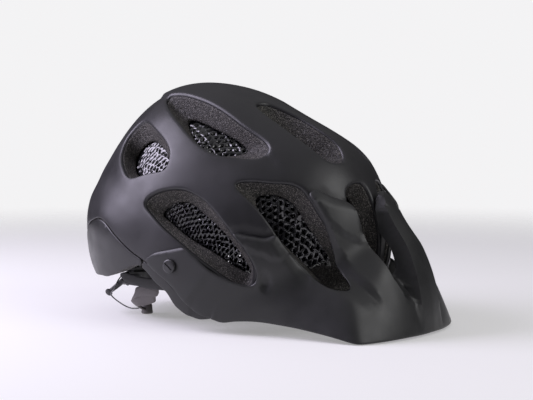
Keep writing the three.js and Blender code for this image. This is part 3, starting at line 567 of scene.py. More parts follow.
# ---- Materials ----
class Finish:
    """A node material on object coordinates, in metres, so that its grain has a real scale."""

    def __init__(self, name, colour, roughness, metallic=0.0, **sockets):
        self.material = bpy.data.materials.new(name)
        self.material.use_nodes = True
        self.tree = self.material.node_tree
        self.shader = self.tree.nodes["Principled BSDF"]
        self.shader.inputs["Base Color"].default_value = (*colour, 1)
        self.shader.inputs["Roughness"].default_value = roughness
        self.shader.inputs["Metallic"].default_value = metallic
        for key, value in sockets.items():
            self.shader.inputs[key.replace("_", " ")].default_value = value
        self.place = self.node("ShaderNodeTexCoord").outputs["Object"]
        self.height = None

    def node(self, kind, **values):
        made = self.tree.nodes.new(kind)
        for key, value in values.items():
            if hasattr(made, key):
                setattr(made, key, value)
            else:
                made.inputs[key.replace("_", " ")].default_value = value
        return made

    def link(self, source, target):
        self.tree.links.new(source, target)

    def stretched(self, scale, turn=(0, 0, 0)):
        mapping = self.node("ShaderNodeMapping")
        mapping.inputs["Scale"].default_value = scale
        mapping.inputs["Rotation"].default_value = turn
        self.link(self.place, mapping.inputs["Vector"])
        return mapping.outputs["Vector"]

    def noise(self, size, detail=3.0, place=None):
        """Noise with features of about that size in metres."""
        made = self.node("ShaderNodeTexNoise", Scale=1 / size, Detail=detail)
        self.link(place or self.place, made.inputs["Vector"])
        return made.outputs["Fac"]

    def beads(self, size, feature="F1", output="Distance", place=None):
        made = self.node("ShaderNodeTexVoronoi", feature=feature, Scale=1 / size)
        self.link(place or self.place, made.inputs["Vector"])
        return made.outputs[output]

    def ramp(self, source, stops):
        """A value or colour curve: stops are (position, value or colour)."""
        made = self.node("ShaderNodeValToRGB")
        band = made.color_ramp
        while len(band.elements) < len(stops):
            band.elements.new(0.5)
        for element, (position, value) in zip(band.elements, stops):
            element.position = position
            colour = value if isinstance(value, tuple) else (value, value, value)
            element.color = (*colour, 1)
        self.link(source, made.inputs["Fac"])
        return made.outputs["Color"]

    def maths(self, operation, a, b):
        made = self.node("ShaderNodeMath", operation=operation)
        for socket, value in zip(made.inputs, (a, b)):
            if isinstance(value, (int, float)):
                socket.default_value = value
            else:
                self.link(value, socket)
        return made.outputs["Value"]

    def mixed(self, fac, a, b, blend="MIX"):
        made = self.node("ShaderNodeMix", data_type="RGBA", blend_type=blend)
        for socket, value in ((made.inputs[0], fac), (made.inputs[6], a), (made.inputs[7], b)):
            if isinstance(value, (int, float)):
                socket.default_value = value
            elif isinstance(value, tuple):
                socket.default_value = (*value, 1)
            else:
                self.link(value, socket)
        return made.outputs[2]

    def colour(self, source):
        self.link(source, self.shader.inputs["Base Color"])

    def roughness(self, source):
        self.link(source, self.shader.inputs["Roughness"])

    def bump(self, source, depth, strength=1.0):
        """Relief of that depth in metres, added to what is there."""
        made = self.node("ShaderNodeBump", Strength=strength, Distance=depth)
        self.link(source, made.inputs["Height"])
        if self.height is not None:
            self.link(self.height, made.inputs["Normal"])
        self.height = made.outputs["Normal"]
        self.link(self.height, self.shader.inputs["Normal"])

    def painted_edge_highlight(self, base, lighter, amount=0.6):
        """Painted highlight: lighter edges, in patches, where the surface turns sharply."""
        edge = self.node("ShaderNodeNewGeometry").outputs["Pointiness"]
        mask = self.ramp(edge, [(0.505, 0.0), (0.56, 1.0)])
        patchy = self.maths("MULTIPLY", mask, self.ramp(self.noise(0.004), [(0.35, 0.2), (0.7, 1.0)]))
        return self.mixed(self.maths("MULTIPLY", patchy, amount), base, lighter)


def moulded(name, colour, roughness, grain=0.0006, relief=0.00002, spread=0.12, edge_highlight=1.5):
    """Satin moulded plastic: fine grain, faint clouding, uneven gloss and a painted highlight on its sharp
    edges.
    """
    f = Finish(name, colour, roughness)
    darker = tuple(c * (1 - spread) for c in colour)
    lighter = tuple(c * (1 + spread) for c in colour)
    clouds = f.ramp(f.noise(0.03, 4), [(0.3, darker), (0.7, lighter)])
    # The colour is lightened on sharp edges: a painted highlight.
    f.colour(f.painted_edge_highlight(clouds, tuple(min(1, c * edge_highlight + 0.01) for c in colour)))
    gloss = f.noise(0.018, 5)
    f.roughness(f.ramp(gloss, [(0.3, roughness - 0.05), (0.7, roughness + 0.06)]))
    f.bump(f.noise(grain, 2), relief)
    return f.material


def bead_foam(name):
    """Expanded bead foam: welded beads of about 2 mm, with a fine speckle of painted sparkle where bead
    facets would catch the light.
    """
    f = Finish(name, (0.05, 0.047, 0.044), 0.75)
    bead = f.beads(0.0021, output="Color")
    tone = f.node("ShaderNodeSeparateColor")
    f.link(bead, tone.inputs["Color"])
    beads = f.ramp(tone.outputs["Red"], [(0.0, (0.016, 0.015, 0.014)), (1.0, (0.040, 0.037, 0.034))])
    # Painted sparkle: fine light specks mixed into the colour stand in for glints off bead facets.
    painted_sparkle = f.ramp(f.noise(0.0009, 2), [(0.52, 0.0), (0.68, 1.0)])
    with_painted_sparkle = f.mixed(painted_sparkle, beads, (0.2, 0.187, 0.17))
    weld = f.ramp(f.beads(0.0021, "DISTANCE_TO_EDGE"), [(0.0, 0.35), (0.09, 1.0)])
    f.colour(f.mixed(1.0, with_painted_sparkle, weld, "MULTIPLY"))
    f.bump(f.ramp(f.beads(0.0021, "DISTANCE_TO_EDGE"), [(0.0, 0.0), (0.22, 1.0)]), 0.00025)
    f.bump(f.noise(0.0005, 3), 0.00012)
    f.roughness(f.ramp(tone.outputs["Green"], [(0.0, 0.5), (1.0, 0.85)]))
    return f.material


def glossy_cells(name):
    """Glossy black film of the wavy cells, with faint draw lines."""
    f = Finish(name, (0.008, 0.008, 0.0095), 0.16, IOR=1.75)
    f.colour(f.ramp(f.noise(0.006, 3), [(0.3, (0.006, 0.006, 0.007)), (0.75, (0.018, 0.018, 0.022))]))
    f.roughness(f.ramp(f.noise(0.003, 4), [(0.35, 0.05), (0.7, 0.18)]))
    f.bump(f.noise(0.0022, 2), 0.0003)
    return f.material


def plated(name):
    """Zinc-plated steel with fine machining lines."""
    f = Finish(name, (0.55, 0.55, 0.57), 0.32, 1.0)
    lines = f.noise(0.0004, 2, f.stretched((0.15, 1, 1)))
    f.roughness(f.ramp(lines, [(0.3, 0.22), (0.7, 0.42)]))
    f.colour(f.ramp(f.noise(0.002, 3), [(0.3, (0.45, 0.45, 0.47)), (0.7, (0.62, 0.62, 0.64))]))
    f.bump(lines, 0.00001)
    return f.material


def knit(name, colour):
    """Brushed knit over foam: fine loops, a soft nap and a pale sheen."""
    f = Finish(name, colour, 0.95, Sheen_Weight=0.35, Sheen_Roughness=0.5)
    loops = f.beads(0.0009, "F1")
    nap = f.noise(0.0003, 3)
    shade = f.ramp(loops, [(0.1, tuple(c * 1.35 for c in colour)), (0.6, tuple(c * 0.55 for c in colour))])
    f.colour(f.mixed(f.ramp(nap, [(0.45, 0.0), (0.8, 0.5)]), shade, tuple(c * 2.0 for c in colour)))
    f.bump(loops, 0.00018)
    f.bump(nap, 0.0001)
    f.roughness(f.ramp(nap, [(0.3, 0.85), (0.7, 1.0)]))
    return f.material


def woven(name, colour):
    """Flat woven webbing: crossing ribs at 0.9 mm and fine fibres."""
    f = Finish(name, colour, 0.8, Sheen_Weight=0.2)
    warp = f.node("ShaderNodeTexWave", wave_type="BANDS", bands_direction="X", Scale=1 / 0.006)
    weft = f.node("ShaderNodeTexWave", wave_type="BANDS", bands_direction="Y", Scale=1 / 0.006)
    for wave in (warp, weft):
        f.link(f.stretched((1, 1, 1), (0, 0, math.radians(45))), wave.inputs["Vector"])
    weave = f.maths("MULTIPLY", warp.outputs["Fac"], weft.outputs["Fac"])
    f.colour(f.ramp(weave, [(0.0, tuple(c * 0.5 for c in colour)), (0.8, tuple(c * 1.6 for c in colour))]))
    f.bump(weave, 0.0002)
    fibres = f.noise(0.0002, 2)
    f.bump(fibres, 0.00005)
    f.roughness(f.ramp(fibres, [(0.3, 0.7), (0.7, 0.95)]))
    return f.material


def braid(name, colour):
    """Thin braided lace: slanting strands."""
    f = Finish(name, colour, 0.55)
    wave = f.node("ShaderNodeTexWave", wave_type="BANDS", bands_direction="DIAGONAL", Scale=1 / 0.004)
    f.link(f.place, wave.inputs["Vector"])
    f.colour(f.ramp(wave.outputs["Fac"], [(0.1, tuple(c * 0.45 for c in colour)), (0.8, colour)]))
    f.bump(wave.outputs["Fac"], 0.0001)
    return f.material


def soft_rubber(name, colour):
    f = Finish(name, colour, 0.72)
    dust = f.noise(0.009, 5)
    f.colour(f.ramp(dust, [(0.35, colour), (0.8, tuple(c * 1.8 for c in colour))]))
    f.roughness(f.ramp(f.noise(0.002, 4), [(0.3, 0.62), (0.7, 0.82)]))
    f.bump(f.noise(0.00035, 2), 0.00004)
    return f.material


SHELL_FINISH = moulded("shell_finish", (0.0115, 0.0112, 0.0128), 0.4)
LOWER_FINISH = moulded("lower_shell_finish", (0.01, 0.01, 0.0105), 0.36)
VISOR_FINISH = moulded("visor_finish", (0.0115, 0.0117, 0.0122), 0.42, grain=0.0009, relief=0.00003)
FOAM_FINISH = bead_foam("foam_finish")
CELL_FINISH = glossy_cells("cell_finish")
SCREW_FINISH = moulded("screw_finish", (0.02, 0.02, 0.021), 0.3, grain=0.0004, edge_highlight=3)
NUT_FINISH = plated("nut_finish")
FIT_FINISH = moulded("fit_finish", (0.018, 0.018, 0.019), 0.42, edge_highlight=2)
GUIDE_FINISH = moulded("guide_finish", (0.11, 0.1, 0.098), 0.45, edge_highlight=1.4)
DIAL_FINISH = soft_rubber("dial_finish", (0.018, 0.018, 0.019))
LACE_FINISH = braid("lace_finish", (0.2, 0.2, 0.205))
PAD_FINISH = knit("pad_finish", (0.03, 0.03, 0.033))
WEBBING_FINISH = woven("webbing_finish", (0.022, 0.022, 0.024))
BINDING_FINISH = woven("binding_finish", (0.012, 0.012, 0.013))
THREAD_FINISH = braid("thread_finish", (0.12, 0.12, 0.125))
BUCKLE_FINISH = moulded("buckle_finish", (0.016, 0.016, 0.017), 0.38, edge_highlight=2)


# ---- Shells ----
VENT_LINES = {}
for vent_name, vent in VENTS.items():
    VENT_LINES[vent_name + "_right"] = (outline(vent["outer"]), outline(vent["inner"]))
    VENT_LINES[vent_name + "_left"] = (mirrored(outline(vent["outer"])), mirrored(outline(vent["inner"])))

SEAM_GAP = 0.3                           # half the gap between the upper and lower shells, in degrees
LIP_DEPTH = 3.4
# A vent's lip: the skin rolls over the edge and down into the opening.
LIP = [(0, LIP_DEPTH, 0), (0.05, 2.1, -2.1), (0.2, 1.2, -1.2), (0.5, 0.5, -0.5), (0.95, 0.12, -0.12),
       (1.6, 0, 0)]


def ring_loop(angle, count=240):
    """A loop round the dome at a crown angle that depends on the bearing."""
    bearing = np.linspace(-180, 180, count, endpoint=False)
    return map_point(bearing, angle(bearing))


def upper_shell():
    border = ring_loop(lambda b: seam_angle(b) - SEAM_GAP)
    holes = [outer for outer, _ in VENT_LINES.values()]
    return dome_sheet(border, holes, shell_radius, SHELL_WALL, 2.0, ROUND_EDGE, LIP)


def lower_band(start, end, count=80):
    """The map region between the seam and the rim, from one bearing to another."""
    b = np.linspace(start, end, count)
    top = map_point(b, seam_angle(b) + SEAM_GAP)
    low = map_point(b[::-1], rim_angle(b[::-1]))
    return rounded_corners(np.vstack([top, low]), 2.0)


def lower_shell(start, end):
    border = evenly(lower_band(start, end), 260, closed=True)
    return dome_sheet(border, [], shell_radius, SHELL_WALL, 1.8, ROUND_EDGE)


SPLIT = 104                              # bearing where the rear lower shell meets the side wraps
SPLIT_GAP = 0.35
WRAP_START = 11.25                       # bearing of the side wraps' front ends


def build_shells():
    shape = upper_shell()
    place("shell_upper", shape, SHELL_FINISH, "outer_shell")
    parts = [
        ("shell_rear_lower", "rear_lower_shell", SPLIT + SPLIT_GAP, 360 - SPLIT - SPLIT_GAP),
        ("shell_wrap_left", "side_wrap_left", WRAP_START, SPLIT - SPLIT_GAP),
        ("shell_wrap_right", "side_wrap_right", SPLIT_GAP - SPLIT, -WRAP_START),
    ]
    for name, node, start, end in parts:
        shape = lower_shell(start, end)
        place(name, shape, LOWER_FINISH, node)


# ---- Foam liner ----
def matched(inner, outer):
    """The inner loop started and turned so that its points face the outer loop's."""
    inner = turned(inner, area_of(outer) > 0)
    a = (outer - outer.mean(0)) / outer.std()
    b = (inner - inner.mean(0)) / inner.std()
    cost = [np.sum((a - np.roll(b, -k, axis=0)) ** 2) for k in range(len(inner))]
    return np.roll(inner, -int(np.argmin(cost)), axis=0)


FOAM_SKIN = SHELL_WALL + LAYER_GAP       # how deep the foam's outer face lies under the shell's
FOAM_LEVELS = 9                          # rows of points down a vent's wall


def foam_top(m):
    return shell_radius(m) - FOAM_SKIN


def foam_low(m):
    return dome_radius(m, FOAM_INSIDE)


def foam_shape():
    shape = Shape()
    border = turned(ring_loop(rim_angle), True)
    top_ends, low_ends = [], []
    top = shape.add(on_map(border, foam_top(border) - 0.8))
    low = shape.add(on_map(border, foam_low(border) + 1.5))
    shape.strip(top, low, flip=True)
    for side, ends, radius in ((top, top_ends, foam_top), (low, low_ends, foam_low)):
        moved = shifted(border, 0.5)
        row = shape.add(on_map(moved, radius(moved)))
        shape.strip(side, row, flip=side is low)
        ends.append((moved, row))
    for outer, inner in VENT_LINES.values():
        outer = turned(outer, False)
        inner = matched(inner, outer)
        under = shifted(outer, 0.9)
        cover = shape.add(on_map(under, foam_top(under)))
        top_ends.append((under, cover))
        edge = shifted(outer, -0.12)
        high = foam_top(edge) - 1.0
        before = shape.add(on_map(edge, high))
        shape.strip(before, cover)
        deep = foam_low(inner) + 1.2
        for level in range(1, FOAM_LEVELS + 1):
            t = level / FOAM_LEVELS
            slide = 0.55 * t + 0.45 * t * t
            m = edge + (inner - edge) * slide
            row = shape.add(on_map(m, high + (deep - high) * t))
            shape.strip(row, before)
            before = row
        back = shifted(inner, 0.6)
        row = shape.add(on_map(back, foam_low(back)))
        shape.strip(row, before)
        low_ends.append((back, row))
    fill_face(shape, top_ends, foam_top, 3.5, False)
    fill_face(shape, low_ends, foam_low, 3.5, True)
    return shape


def build_foam():
    shape = foam_shape()
    place("foam_body", shape, FOAM_FINISH, "foam_liner")


# ---- Wavy-cell liner ----
CELL_PITCH = 3.3                         # degrees between cell centres
CELL_WEB = 0.4                           # wall thickness, in degrees
CELL_WAVES = [0.4, -0.8, 0.9, -1, 0.8, 0]  # sideways places of the folds through the depth
CELL_SWAY = 0.8                          # how far the folds reach, in degrees


def cell_shape():
    """A honeycomb of wavy-walled cells, open from the head to the foam."""
    shape = Shape()
    limit = lambda m: polar(m)[0] < seam_angle(polar(m)[1]) * 8 / 9 - 1.0
    side = CELL_PITCH / math.sqrt(3)
    turns = [math.radians(60 * k) for k in range(6)]
    corners = [(side * math.sin(turn), side * math.cos(turn)) for turn in turns]
    cells, vertex_ids, vertices = [], {}, []
    reach = int(110 / CELL_PITCH) + 2
    for row in range(-reach - 4, reach + 5):
        for col in range(-reach, reach + 1):
            centre = np.array([(col + 0.5 * (row % 2)) * CELL_PITCH, row * side * 1.5])
            ring = [centre + c for c in corners]
            if not all(limit(np.array([r]))[0] for r in ring):
                continue
            ids = []
            for r in ring:
                key = (round(r[0] * 50), round(r[1] * 50))
                if key not in vertex_ids:
                    vertex_ids[key] = len(vertices)
                    vertices.append(r)
                ids.append(vertex_ids[key])
            cells.append((centre, ids[::-1]))
    vertices = np.array(vertices)
    levels = len(CELL_WAVES)

    def layer(points, level):
        t = level / (levels - 1)
        high = dome_radius(points, FOAM_INSIDE) - LAYER_GAP
        low = dome_radius(points, CELL_INSIDE)
        sway = CELL_SWAY * CELL_WAVES[level]
        phase = 2.1 * level
        wander = np.stack([np.sin(points[:, 1] * 1.9 + points[:, 0] * 0.6 + phase),
                           np.cos(points[:, 0] * 2.3 - points[:, 1] * 0.8 + phase)], -1)
        moved = points + np.array([sway, 0.6 * sway]) + 0.55 * wander * (level < levels - 1)
        return on_map(moved, high + (low - high) * t)

    users = {}
    rings = []
    for number, (centre, ids) in enumerate(cells):
        corner = vertices[ids]
        inset = centre + (corner - centre) * (1 - CELL_WEB / side)
        rows = [shape.add(layer(inset, level)) for level in range(levels)]
        rings.append(rows)
        for level in range(levels - 1):
            shape.strip(rows[level], rows[level + 1])
        for k in range(6):
            users.setdefault((ids[k], ids[(k + 1) % 6]), []).append((number, k))
    rim_rows = {}

    def rim_id(vertex, level):
        if (vertex, level) not in rim_rows:
            rim_rows[(vertex, level)] = shape.add(layer(vertices[[vertex]], level))[0]
        return rim_rows[(vertex, level)]

    around = {}
    for (a, b), found in users.items():
        number, k = found[0]
        twin = users.get((b, a))
        around.setdefault(a, []).append(number)
        for level, flip in ((0, False), (levels - 1, True)):
            row = rings[number][level]
            first, second = row[k], row[(k + 1) % 6]
            if twin:
                if a > b:
                    continue
                other, j = twin[0]
                far = rings[other][level]
                quad = [first, far[(j + 1) % 6], far[j], second]
            else:
                quad = [first, rim_id(a, level), rim_id(b, level), second]
            shape.faces.append(quad if flip else quad[::-1])
        if not twin:
            for level in range(levels - 1):
                quad = [rim_id(a, level), rim_id(b, level), rim_id(b, level + 1), rim_id(a, level + 1)]
                shape.faces.append(quad[::-1])
    corner_of = {}
    for number, (centre, ids) in enumerate(cells):
        for k, vertex in enumerate(ids):
            corner_of.setdefault(vertex, []).append((number, k))
    for vertex, found in corner_of.items():
        if len(found) == 1:
            continue
        here = vertices[vertex]
        found.sort(key=lambda f: math.atan2(*(cells[f[0]][0] - here)[::-1]))
        for level, flip in ((0, True), (levels - 1, False)):
            ids = [rings[n][level][k] for n, k in found]
            if len(found) == 2:
                ids.append(rim_id(vertex, level))
            shape.faces.append(ids if flip else ids[::-1])
    return shape


def build_cells():
    shape = cell_shape()
    place("cell_lattice", shape, CELL_FINISH, "cell_liner", 80)


# ---- Visor ----
def clear_radius(m):
    """The visor's inner surface, clear of the shell at rest and at every tilt."""
    d = direction(m)
    r = shell_radius(m) + VISOR_GAP
    for lift in range(0, VISOR_LIFT + 1, 3):
        c, s = math.cos(math.radians(lift)), math.sin(math.radians(lift))
        for _ in range(3):
            p = d * r[..., None] - PIVOT
            turn = np.stack([p[..., 0], p[..., 1] * c + p[..., 2] * s, -p[..., 1] * s + p[..., 2] * c], -1)
            q = turn + PIVOT
            need = shell_radius(to_map(q)) + VISOR_GAP
            r = r + np.maximum(0, need - np.linalg.norm(q, axis=-1))
    return r


def visor_edge(bearing):
    """The peak's lower edge in the half-plane of a bearing: distance from the axis, and height."""
    front = 213 - 3.5 * (bearing / 25) ** 2
    side = 90 / np.maximum(0.05, np.sin(np.radians(bearing)))
    gap = np.sqrt((front - side) ** 2 + 9 ** 2)
    return (front + side - gap) / 2, along(VISOR_EDGE_HEIGHT, bearing)


def visor_low(bearing):
    rho, height = visor_edge(bearing)
    free = np.degrees(np.arctan2(rho, height))
    t = np.clip((bearing - FREE_EDGE) / 8, 0, 1)
    return free * (1 - t) + along(VISOR_LOW, bearing) * t


def visor_peak(m):
    theta, bearing = polar(m)
    b = np.abs(bearing)
    leave = along(VISOR_LEAVE, b)
    start = map_point(b, leave)
    r = dome_radius(start, SHELL) + VISOR_GAP + 2
    l, h = r * np.sin(np.radians(leave)), r * np.cos(np.radians(leave))
    el, eh = visor_edge(b)
    dl, dh = el - l, eh - h
    s, c = np.sin(np.radians(theta)), np.cos(np.radians(theta))
    with np.errstate(divide="ignore", invalid="ignore"):
        ray = (l * dh - h * dl) / (s * dh - c * dl)
    share = np.clip(np.hypot(ray * s - l, ray * c - h) / np.hypot(dl, dh), 0, 1)
    ray = ray + PEAK_CROWN * np.maximum(0, np.cos(np.radians(b))) ** 3 * 4 * share * (1 - share)
    return np.where(b > FREE_EDGE + 8, 0, ray), smooth((theta - leave) / 14)


def distance_to(m, line):
    """Each map point's distance to a polyline, in degrees."""
    p, k = np.asarray(m, float)[..., None, :], np.asarray(line, float)
    a, step = k[:-1], np.diff(k, axis=0)
    t = np.clip(np.sum((p - a) * step, -1) / np.sum(step * step, -1), 0, 1)
    return np.min(np.linalg.norm(p - a - t[..., None] * step, axis=-1), -1)


def tongue_line(offset=0.0):
    theta = np.linspace(46, 78, 17)
    x = along(TONGUE_WIDTH, theta) + offset
    return np.stack([-x, -np.sqrt(theta ** 2 - x ** 2)], -1)


def sunk(q, border, slopes):
    """How far a scoop sinks: each of its lines [line, mm per degree] starts a slope."""
    inside = inside_loop(q.reshape(-1, 2), np.asarray(border, float)).reshape(q.shape[:-1])
    depth = np.min([slope * distance_to(q, line) for line, slope in slopes], axis=0)
    return depth * inside


def scoops(m):
    """The hollows at the low ends of the vents, in mm."""
    q = np.stack([-np.abs(m[..., 0]), m[..., 1]], -1)
    brow = sunk(q, [*FINGER_REAR, *BROW_SCOOP_END[-2::-1], [-50, -30]],
                [(FINGER_REAR, 3.0), (BROW_SCOOP_END, 1.5)])
    tongue = tongue_line()
    front = sunk(q, [*FINGER_FRONT, *tongue[::-1]],
                 [(FINGER_FRONT, 4.0), (FRONT_SCOOP_END, 2.4), (tongue, 6.0)])
    side = 1 - np.hypot((q[..., 0] + 60.5) / 3.6, (q[..., 1] + 58) / 5.2)
    return np.maximum(brow, front) + 2.4 * smooth(side * 1.6)


def visor_radius(m):
    """The visor's outer surface: fingers low on the shell, the flat peak, and the raised tongue."""
    x = np.abs(m[..., 0])
    theta, bearing = polar(m)
    b = np.abs(bearing)
    low = clear_radius(m) + VISOR_WALL
    past_top = theta - along(VISOR_TOP, b)
    q = np.stack([-x, m[..., 1]], -1)
    bevel = np.clip(past_top / along(BEVEL_WIDTH, b), 0, 1)
    facet = np.where(b > 33, np.clip(distance_to(q, BROW_EDGE) / 4.2, 0, 1), 1)
    base = low + along(FINGER_LIFT, b) * bevel * facet
    peak, share = visor_peak(m)
    gap = peak - base
    base = base + share * 0.5 * (gap + np.sqrt(gap * gap + 90))
    across = np.clip((along(TONGUE_WIDTH, theta) + 1.3 - x) / 1.3, 0, 1)
    tongue = along(TONGUE_RISE, theta) * across * np.clip(past_top / 1.1, 0, 1)
    return np.maximum(low, base + tongue - scoops(m))


VISOR_EDGE = [(0, 1.3, 0), (0.1, 0.65, 0.65), (0.28, 0.2, 0.2), (0.6, 0, 0)]


def region_loop(border, cuts):
    """The outline of the border's region after the cuts are taken out of it, as one closed loop."""
    loops = [border, *cuts]
    edges, start = [], 0
    for loop in loops:
        n = len(loop)
        edges += [(start + i, start + (i + 1) % n) for i in range(n)]
        start += n
    made = delaunay_2d_cdt([Vector(p) for p in np.vstack(loops)], edges, [], 0, 1e-5)
    points = np.array([[p.x, p.y] for p in made[0]])
    faces = np.array([list(face) for face in made[2]])
    middles = points[faces].mean(1)
    keep = inside_loop(middles, border)
    for cut in cuts:
        keep &= ~inside_loop(middles, cut)
    count = {}
    for face in faces[keep]:
        if area_of(points[face]) < 0:
            face = face[::-1]
        for a, b in zip(face, np.roll(face, -1)):
            count[(a, b)] = count.get((a, b), 0) + 1
    follow = {a: b for a, b in count if (b, a) not in count}
    best = []
    while follow:
        first, now = next(iter(follow.items()))
        del follow[first]
        chain = [first]
        while now in follow:
            chain.append(now)
            now = follow.pop(now)
        if len(chain) > len(best):
            best = chain
    return points[best]


def softened(loop, passes):
    for _ in range(passes):
        loop = 0.5 * loop + 0.25 * (np.roll(loop, 1, axis=0) + np.roll(loop, -1, axis=0))
    return loop


def visor_outline():
    b = np.concatenate([np.linspace(-ARM_END, -20, 120), np.linspace(-19.5, 19.5, 60),
                        np.linspace(20, ARM_END, 120)])
    top = map_point(b, along(VISOR_TOP, np.abs(b)))
    low = map_point(b[::-1], visor_low(np.abs(b[::-1])))
    border = evenly(rounded_corners(np.vstack([top, low]), 4.0), 700, closed=True)
    cuts = []
    for line in VISOR_CUTS.values():
        loop = outline(line, 160)
        cuts += [loop, mirrored(loop)]
    return softened(evenly(region_loop(border, cuts), 1500, closed=True), 12)


def runs_inside(line, border, margin=1.0):
    """The stretches of a line that lie inside a border by a margin."""
    line = evenly(line, int(np.linalg.norm(np.diff(line, axis=0), axis=1).sum() / 0.8) + 2)
    keep = inside_loop(line, border) & (distance_to(line, np.vstack([border, border[:1]])) > margin)
    runs, run = [], []
    for point, kept in zip(line, keep):
        if kept:
            run.append(point)
        elif len(run) > 1:
            runs.append(np.array(run))
        if not kept:
            run = []
    return runs + ([np.array(run)] if len(run) > 1 else [])


def visor_lines(border):
    """Lines that the visor's triangles follow: its crests and the feet of its steep walls."""
    lines = []
    for line in (FINGER_REAR, FINGER_FRONT, BROW_SCOOP_END, FRONT_SCOOP_END):
        lines.append(np.asarray(line, float))
    lines += [tongue_line(), tongue_line(1.3)]
    found = []
    for line in lines:
        for side in (line, mirrored(line)):
            found += runs_inside(side, border)
    return found


def build_visor():
    border = turned(visor_outline(), True)
    shape = dome_sheet(border, [], visor_radius, VISOR_WALL, 1.15, VISOR_EDGE, lines=visor_lines(border),
                       inner_spacing=1.5)
    place("visor_peak", shape, VISOR_FINISH, "visor", 42)


# ---- Lofted and turned pieces ----
def crosswise(p, t, across):
    """Unit vectors to the side and out of a line's face, square to its direction t at p."""
    side = np.array(across(p, t) if callable(across) else across, float)
    side -= t * (side @ t)
    side /= np.linalg.norm(side)
    return side, np.cross(t, side)


def sweep(line, section, across):
    """A solid along a line. section(u) gives points [side, normal] in mm; across sets the side."""
    line = np.asarray(line, float)
    shape = Shape()
    ahead = np.gradient(line, axis=0)
    ahead /= np.linalg.norm(ahead, axis=1, keepdims=True)
    rows = []
    reach = np.concatenate([[0], np.cumsum(np.linalg.norm(np.diff(line, axis=0), axis=1))])
    for k, (p, t) in enumerate(zip(line, ahead)):
        side, normal = crosswise(p, t, across)
        spots = np.asarray(section(reach[k] / reach[-1]), float)
        rows.append(shape.add(p + spots[:, :1] * side + spots[:, 1:2] * normal))
    for a, b in zip(rows, rows[1:]):
        shape.strip(a, b)
    shape.faces.append(list(rows[0])[::-1])
    shape.faces.append(list(rows[-1]))
    return shape


def slab(width, thickness, power=4.0, count=20):
    """A rounded-edged flat section."""
    a = np.linspace(0, 2 * math.pi, count, endpoint=False)
    c, s = np.cos(a), np.sin(a)
    ends = 2 / power
    x = np.sign(c) * np.abs(c) ** ends * width / 2
    y = np.sign(s) * np.abs(s) ** ends * thickness / 2
    return np.stack([x, y], -1)


def tapered(width, thickness, power=4.0, end=0.06, count=20):
    """A slab section that rounds off at both ends of its line."""
    def section(u):
        near = min(u, 1 - u) / end
        shrink = math.sqrt(max(0.0, 1 - (1 - min(1.0, near)) ** 2)) if near < 1 else 1.0
        wide = width(u) if callable(width) else width
        thick = thickness(u) if callable(thickness) else thickness
        return slab(wide * max(0.3, shrink), thick * max(0.35, shrink), power, count)
    return section


def turned_solid(profile, centre, axis, steps=48):
    """A solid of revolution: profile lists (radius, height along the axis), closed on the axis."""
    shape = Shape()
    axis = np.asarray(axis, float) / np.linalg.norm(axis)
    u = np.cross(axis, [0, 0, 1] if abs(axis[2]) < 0.9 else [1, 0, 0])
    u /= np.linalg.norm(u)
    v = np.cross(axis, u)
    a = np.linspace(0, 2 * math.pi, steps, endpoint=False)[:, None]
    around = np.cos(a) * u + np.sin(a) * v
    centre = np.asarray(centre, float)
    rows = []
    for r, h in profile:
        if r < 1e-6:
            rows.append([shape.add([centre + axis * h])[0]] * steps)
        else:
            rows.append(shape.add(centre + axis * h + around * r))
    shape.rings(rows)
    return shape


def rounded_block(size, centre, basis, bevel, segments=3):
    """A block with rounded edges as points and faces: basis rows are its own x, y and z."""
    bm = bmesh.new()
    bmesh.ops.create_cube(bm, size=1)
    bmesh.ops.scale(bm, vec=size, verts=bm.verts)
    bmesh.ops.bevel(bm, geom=bm.edges[:], offset=bevel, segments=segments, profile=0.5, affect="EDGES")
    points = np.array([v.co for v in bm.verts])
    faces = [[v.index for v in face.verts] for face in bm.faces]
    bm.free()
    shape = Shape()
    shape.points = list(points @ np.asarray(basis, float) + np.asarray(centre, float))
    shape.faces = faces
    return shape


def merged(*shapes):
    whole = Shape()
    for shape in shapes:
        start = len(whole.points)
        whole.points += list(shape.points)
        whole.faces += [[start + int(i) for i in face] for face in shape.faces]
    return whole


def applied(obj):
    """Applies every modifier on an object."""
    bpy.context.view_layer.update()
    graph = bpy.context.evaluated_depsgraph_get()
    made = bpy.data.meshes.new_from_object(obj.evaluated_get(graph))
    obj.modifiers.clear()
    obj.data = made


def carved(obj, *shapes):
    """Cuts shapes out of an object, exactly, one after another."""
    for shape in shapes:
        tool = loose("tool", shape)
        cut = obj.modifiers.new("cut", "BOOLEAN")
        cut.operation = "DIFFERENCE"
        cut.solver = "EXACT"
        cut.object = tool
        applied(obj)
        bpy.data.objects.remove(tool)


SIDES = {"right": -1, "left": 1}


def on_side(side, points):
    """Points given for the left side, put on the left (1) or the right (-1)."""
    return [[side * x, y, z] for x, y, z in points]


ARM_FACE = float(clear_radius(to_map(np.array([[-107.0, -7, -14]])))[0]) + VISOR_WALL


def build_screws():
    """Coin-slotted pivot screws with a domed, chamfered head; the hex nuts they turn in are made in
    build_nuts.
    """
    for word, side in SIDES.items():
        axis = np.array([side, 0, 0])
        face = ARM_FACE + 0.4
        profile = [(0, -6), (2.4, -6), (2.5, -5.6), (2.5, 0), (5.4, 0), (6.1, 0.3), (6.2, 1.0), (6.0, 1.9),
                   (5.4, 2.3), (4.6, 2.4), (0, 2.45)]
        centre = np.array([side * face, PIVOT[1], PIVOT[2]])
        body = loose("visor_pivot_screw_" + word, turned_solid(profile, centre, axis, 64))
        lean = math.radians(14)
        basis = [[1, 0, 0], [0, math.cos(lean), math.sin(lean)], [0, -math.sin(lean), math.cos(lean)]]
        slot = rounded_block((2.4, 9.4, 1.5), centre + axis * 2.6, basis, 0.25, 2)
        carved(body, slot)
        settle(body, SCREW_FINISH, "visor_screw_" + word, 30)


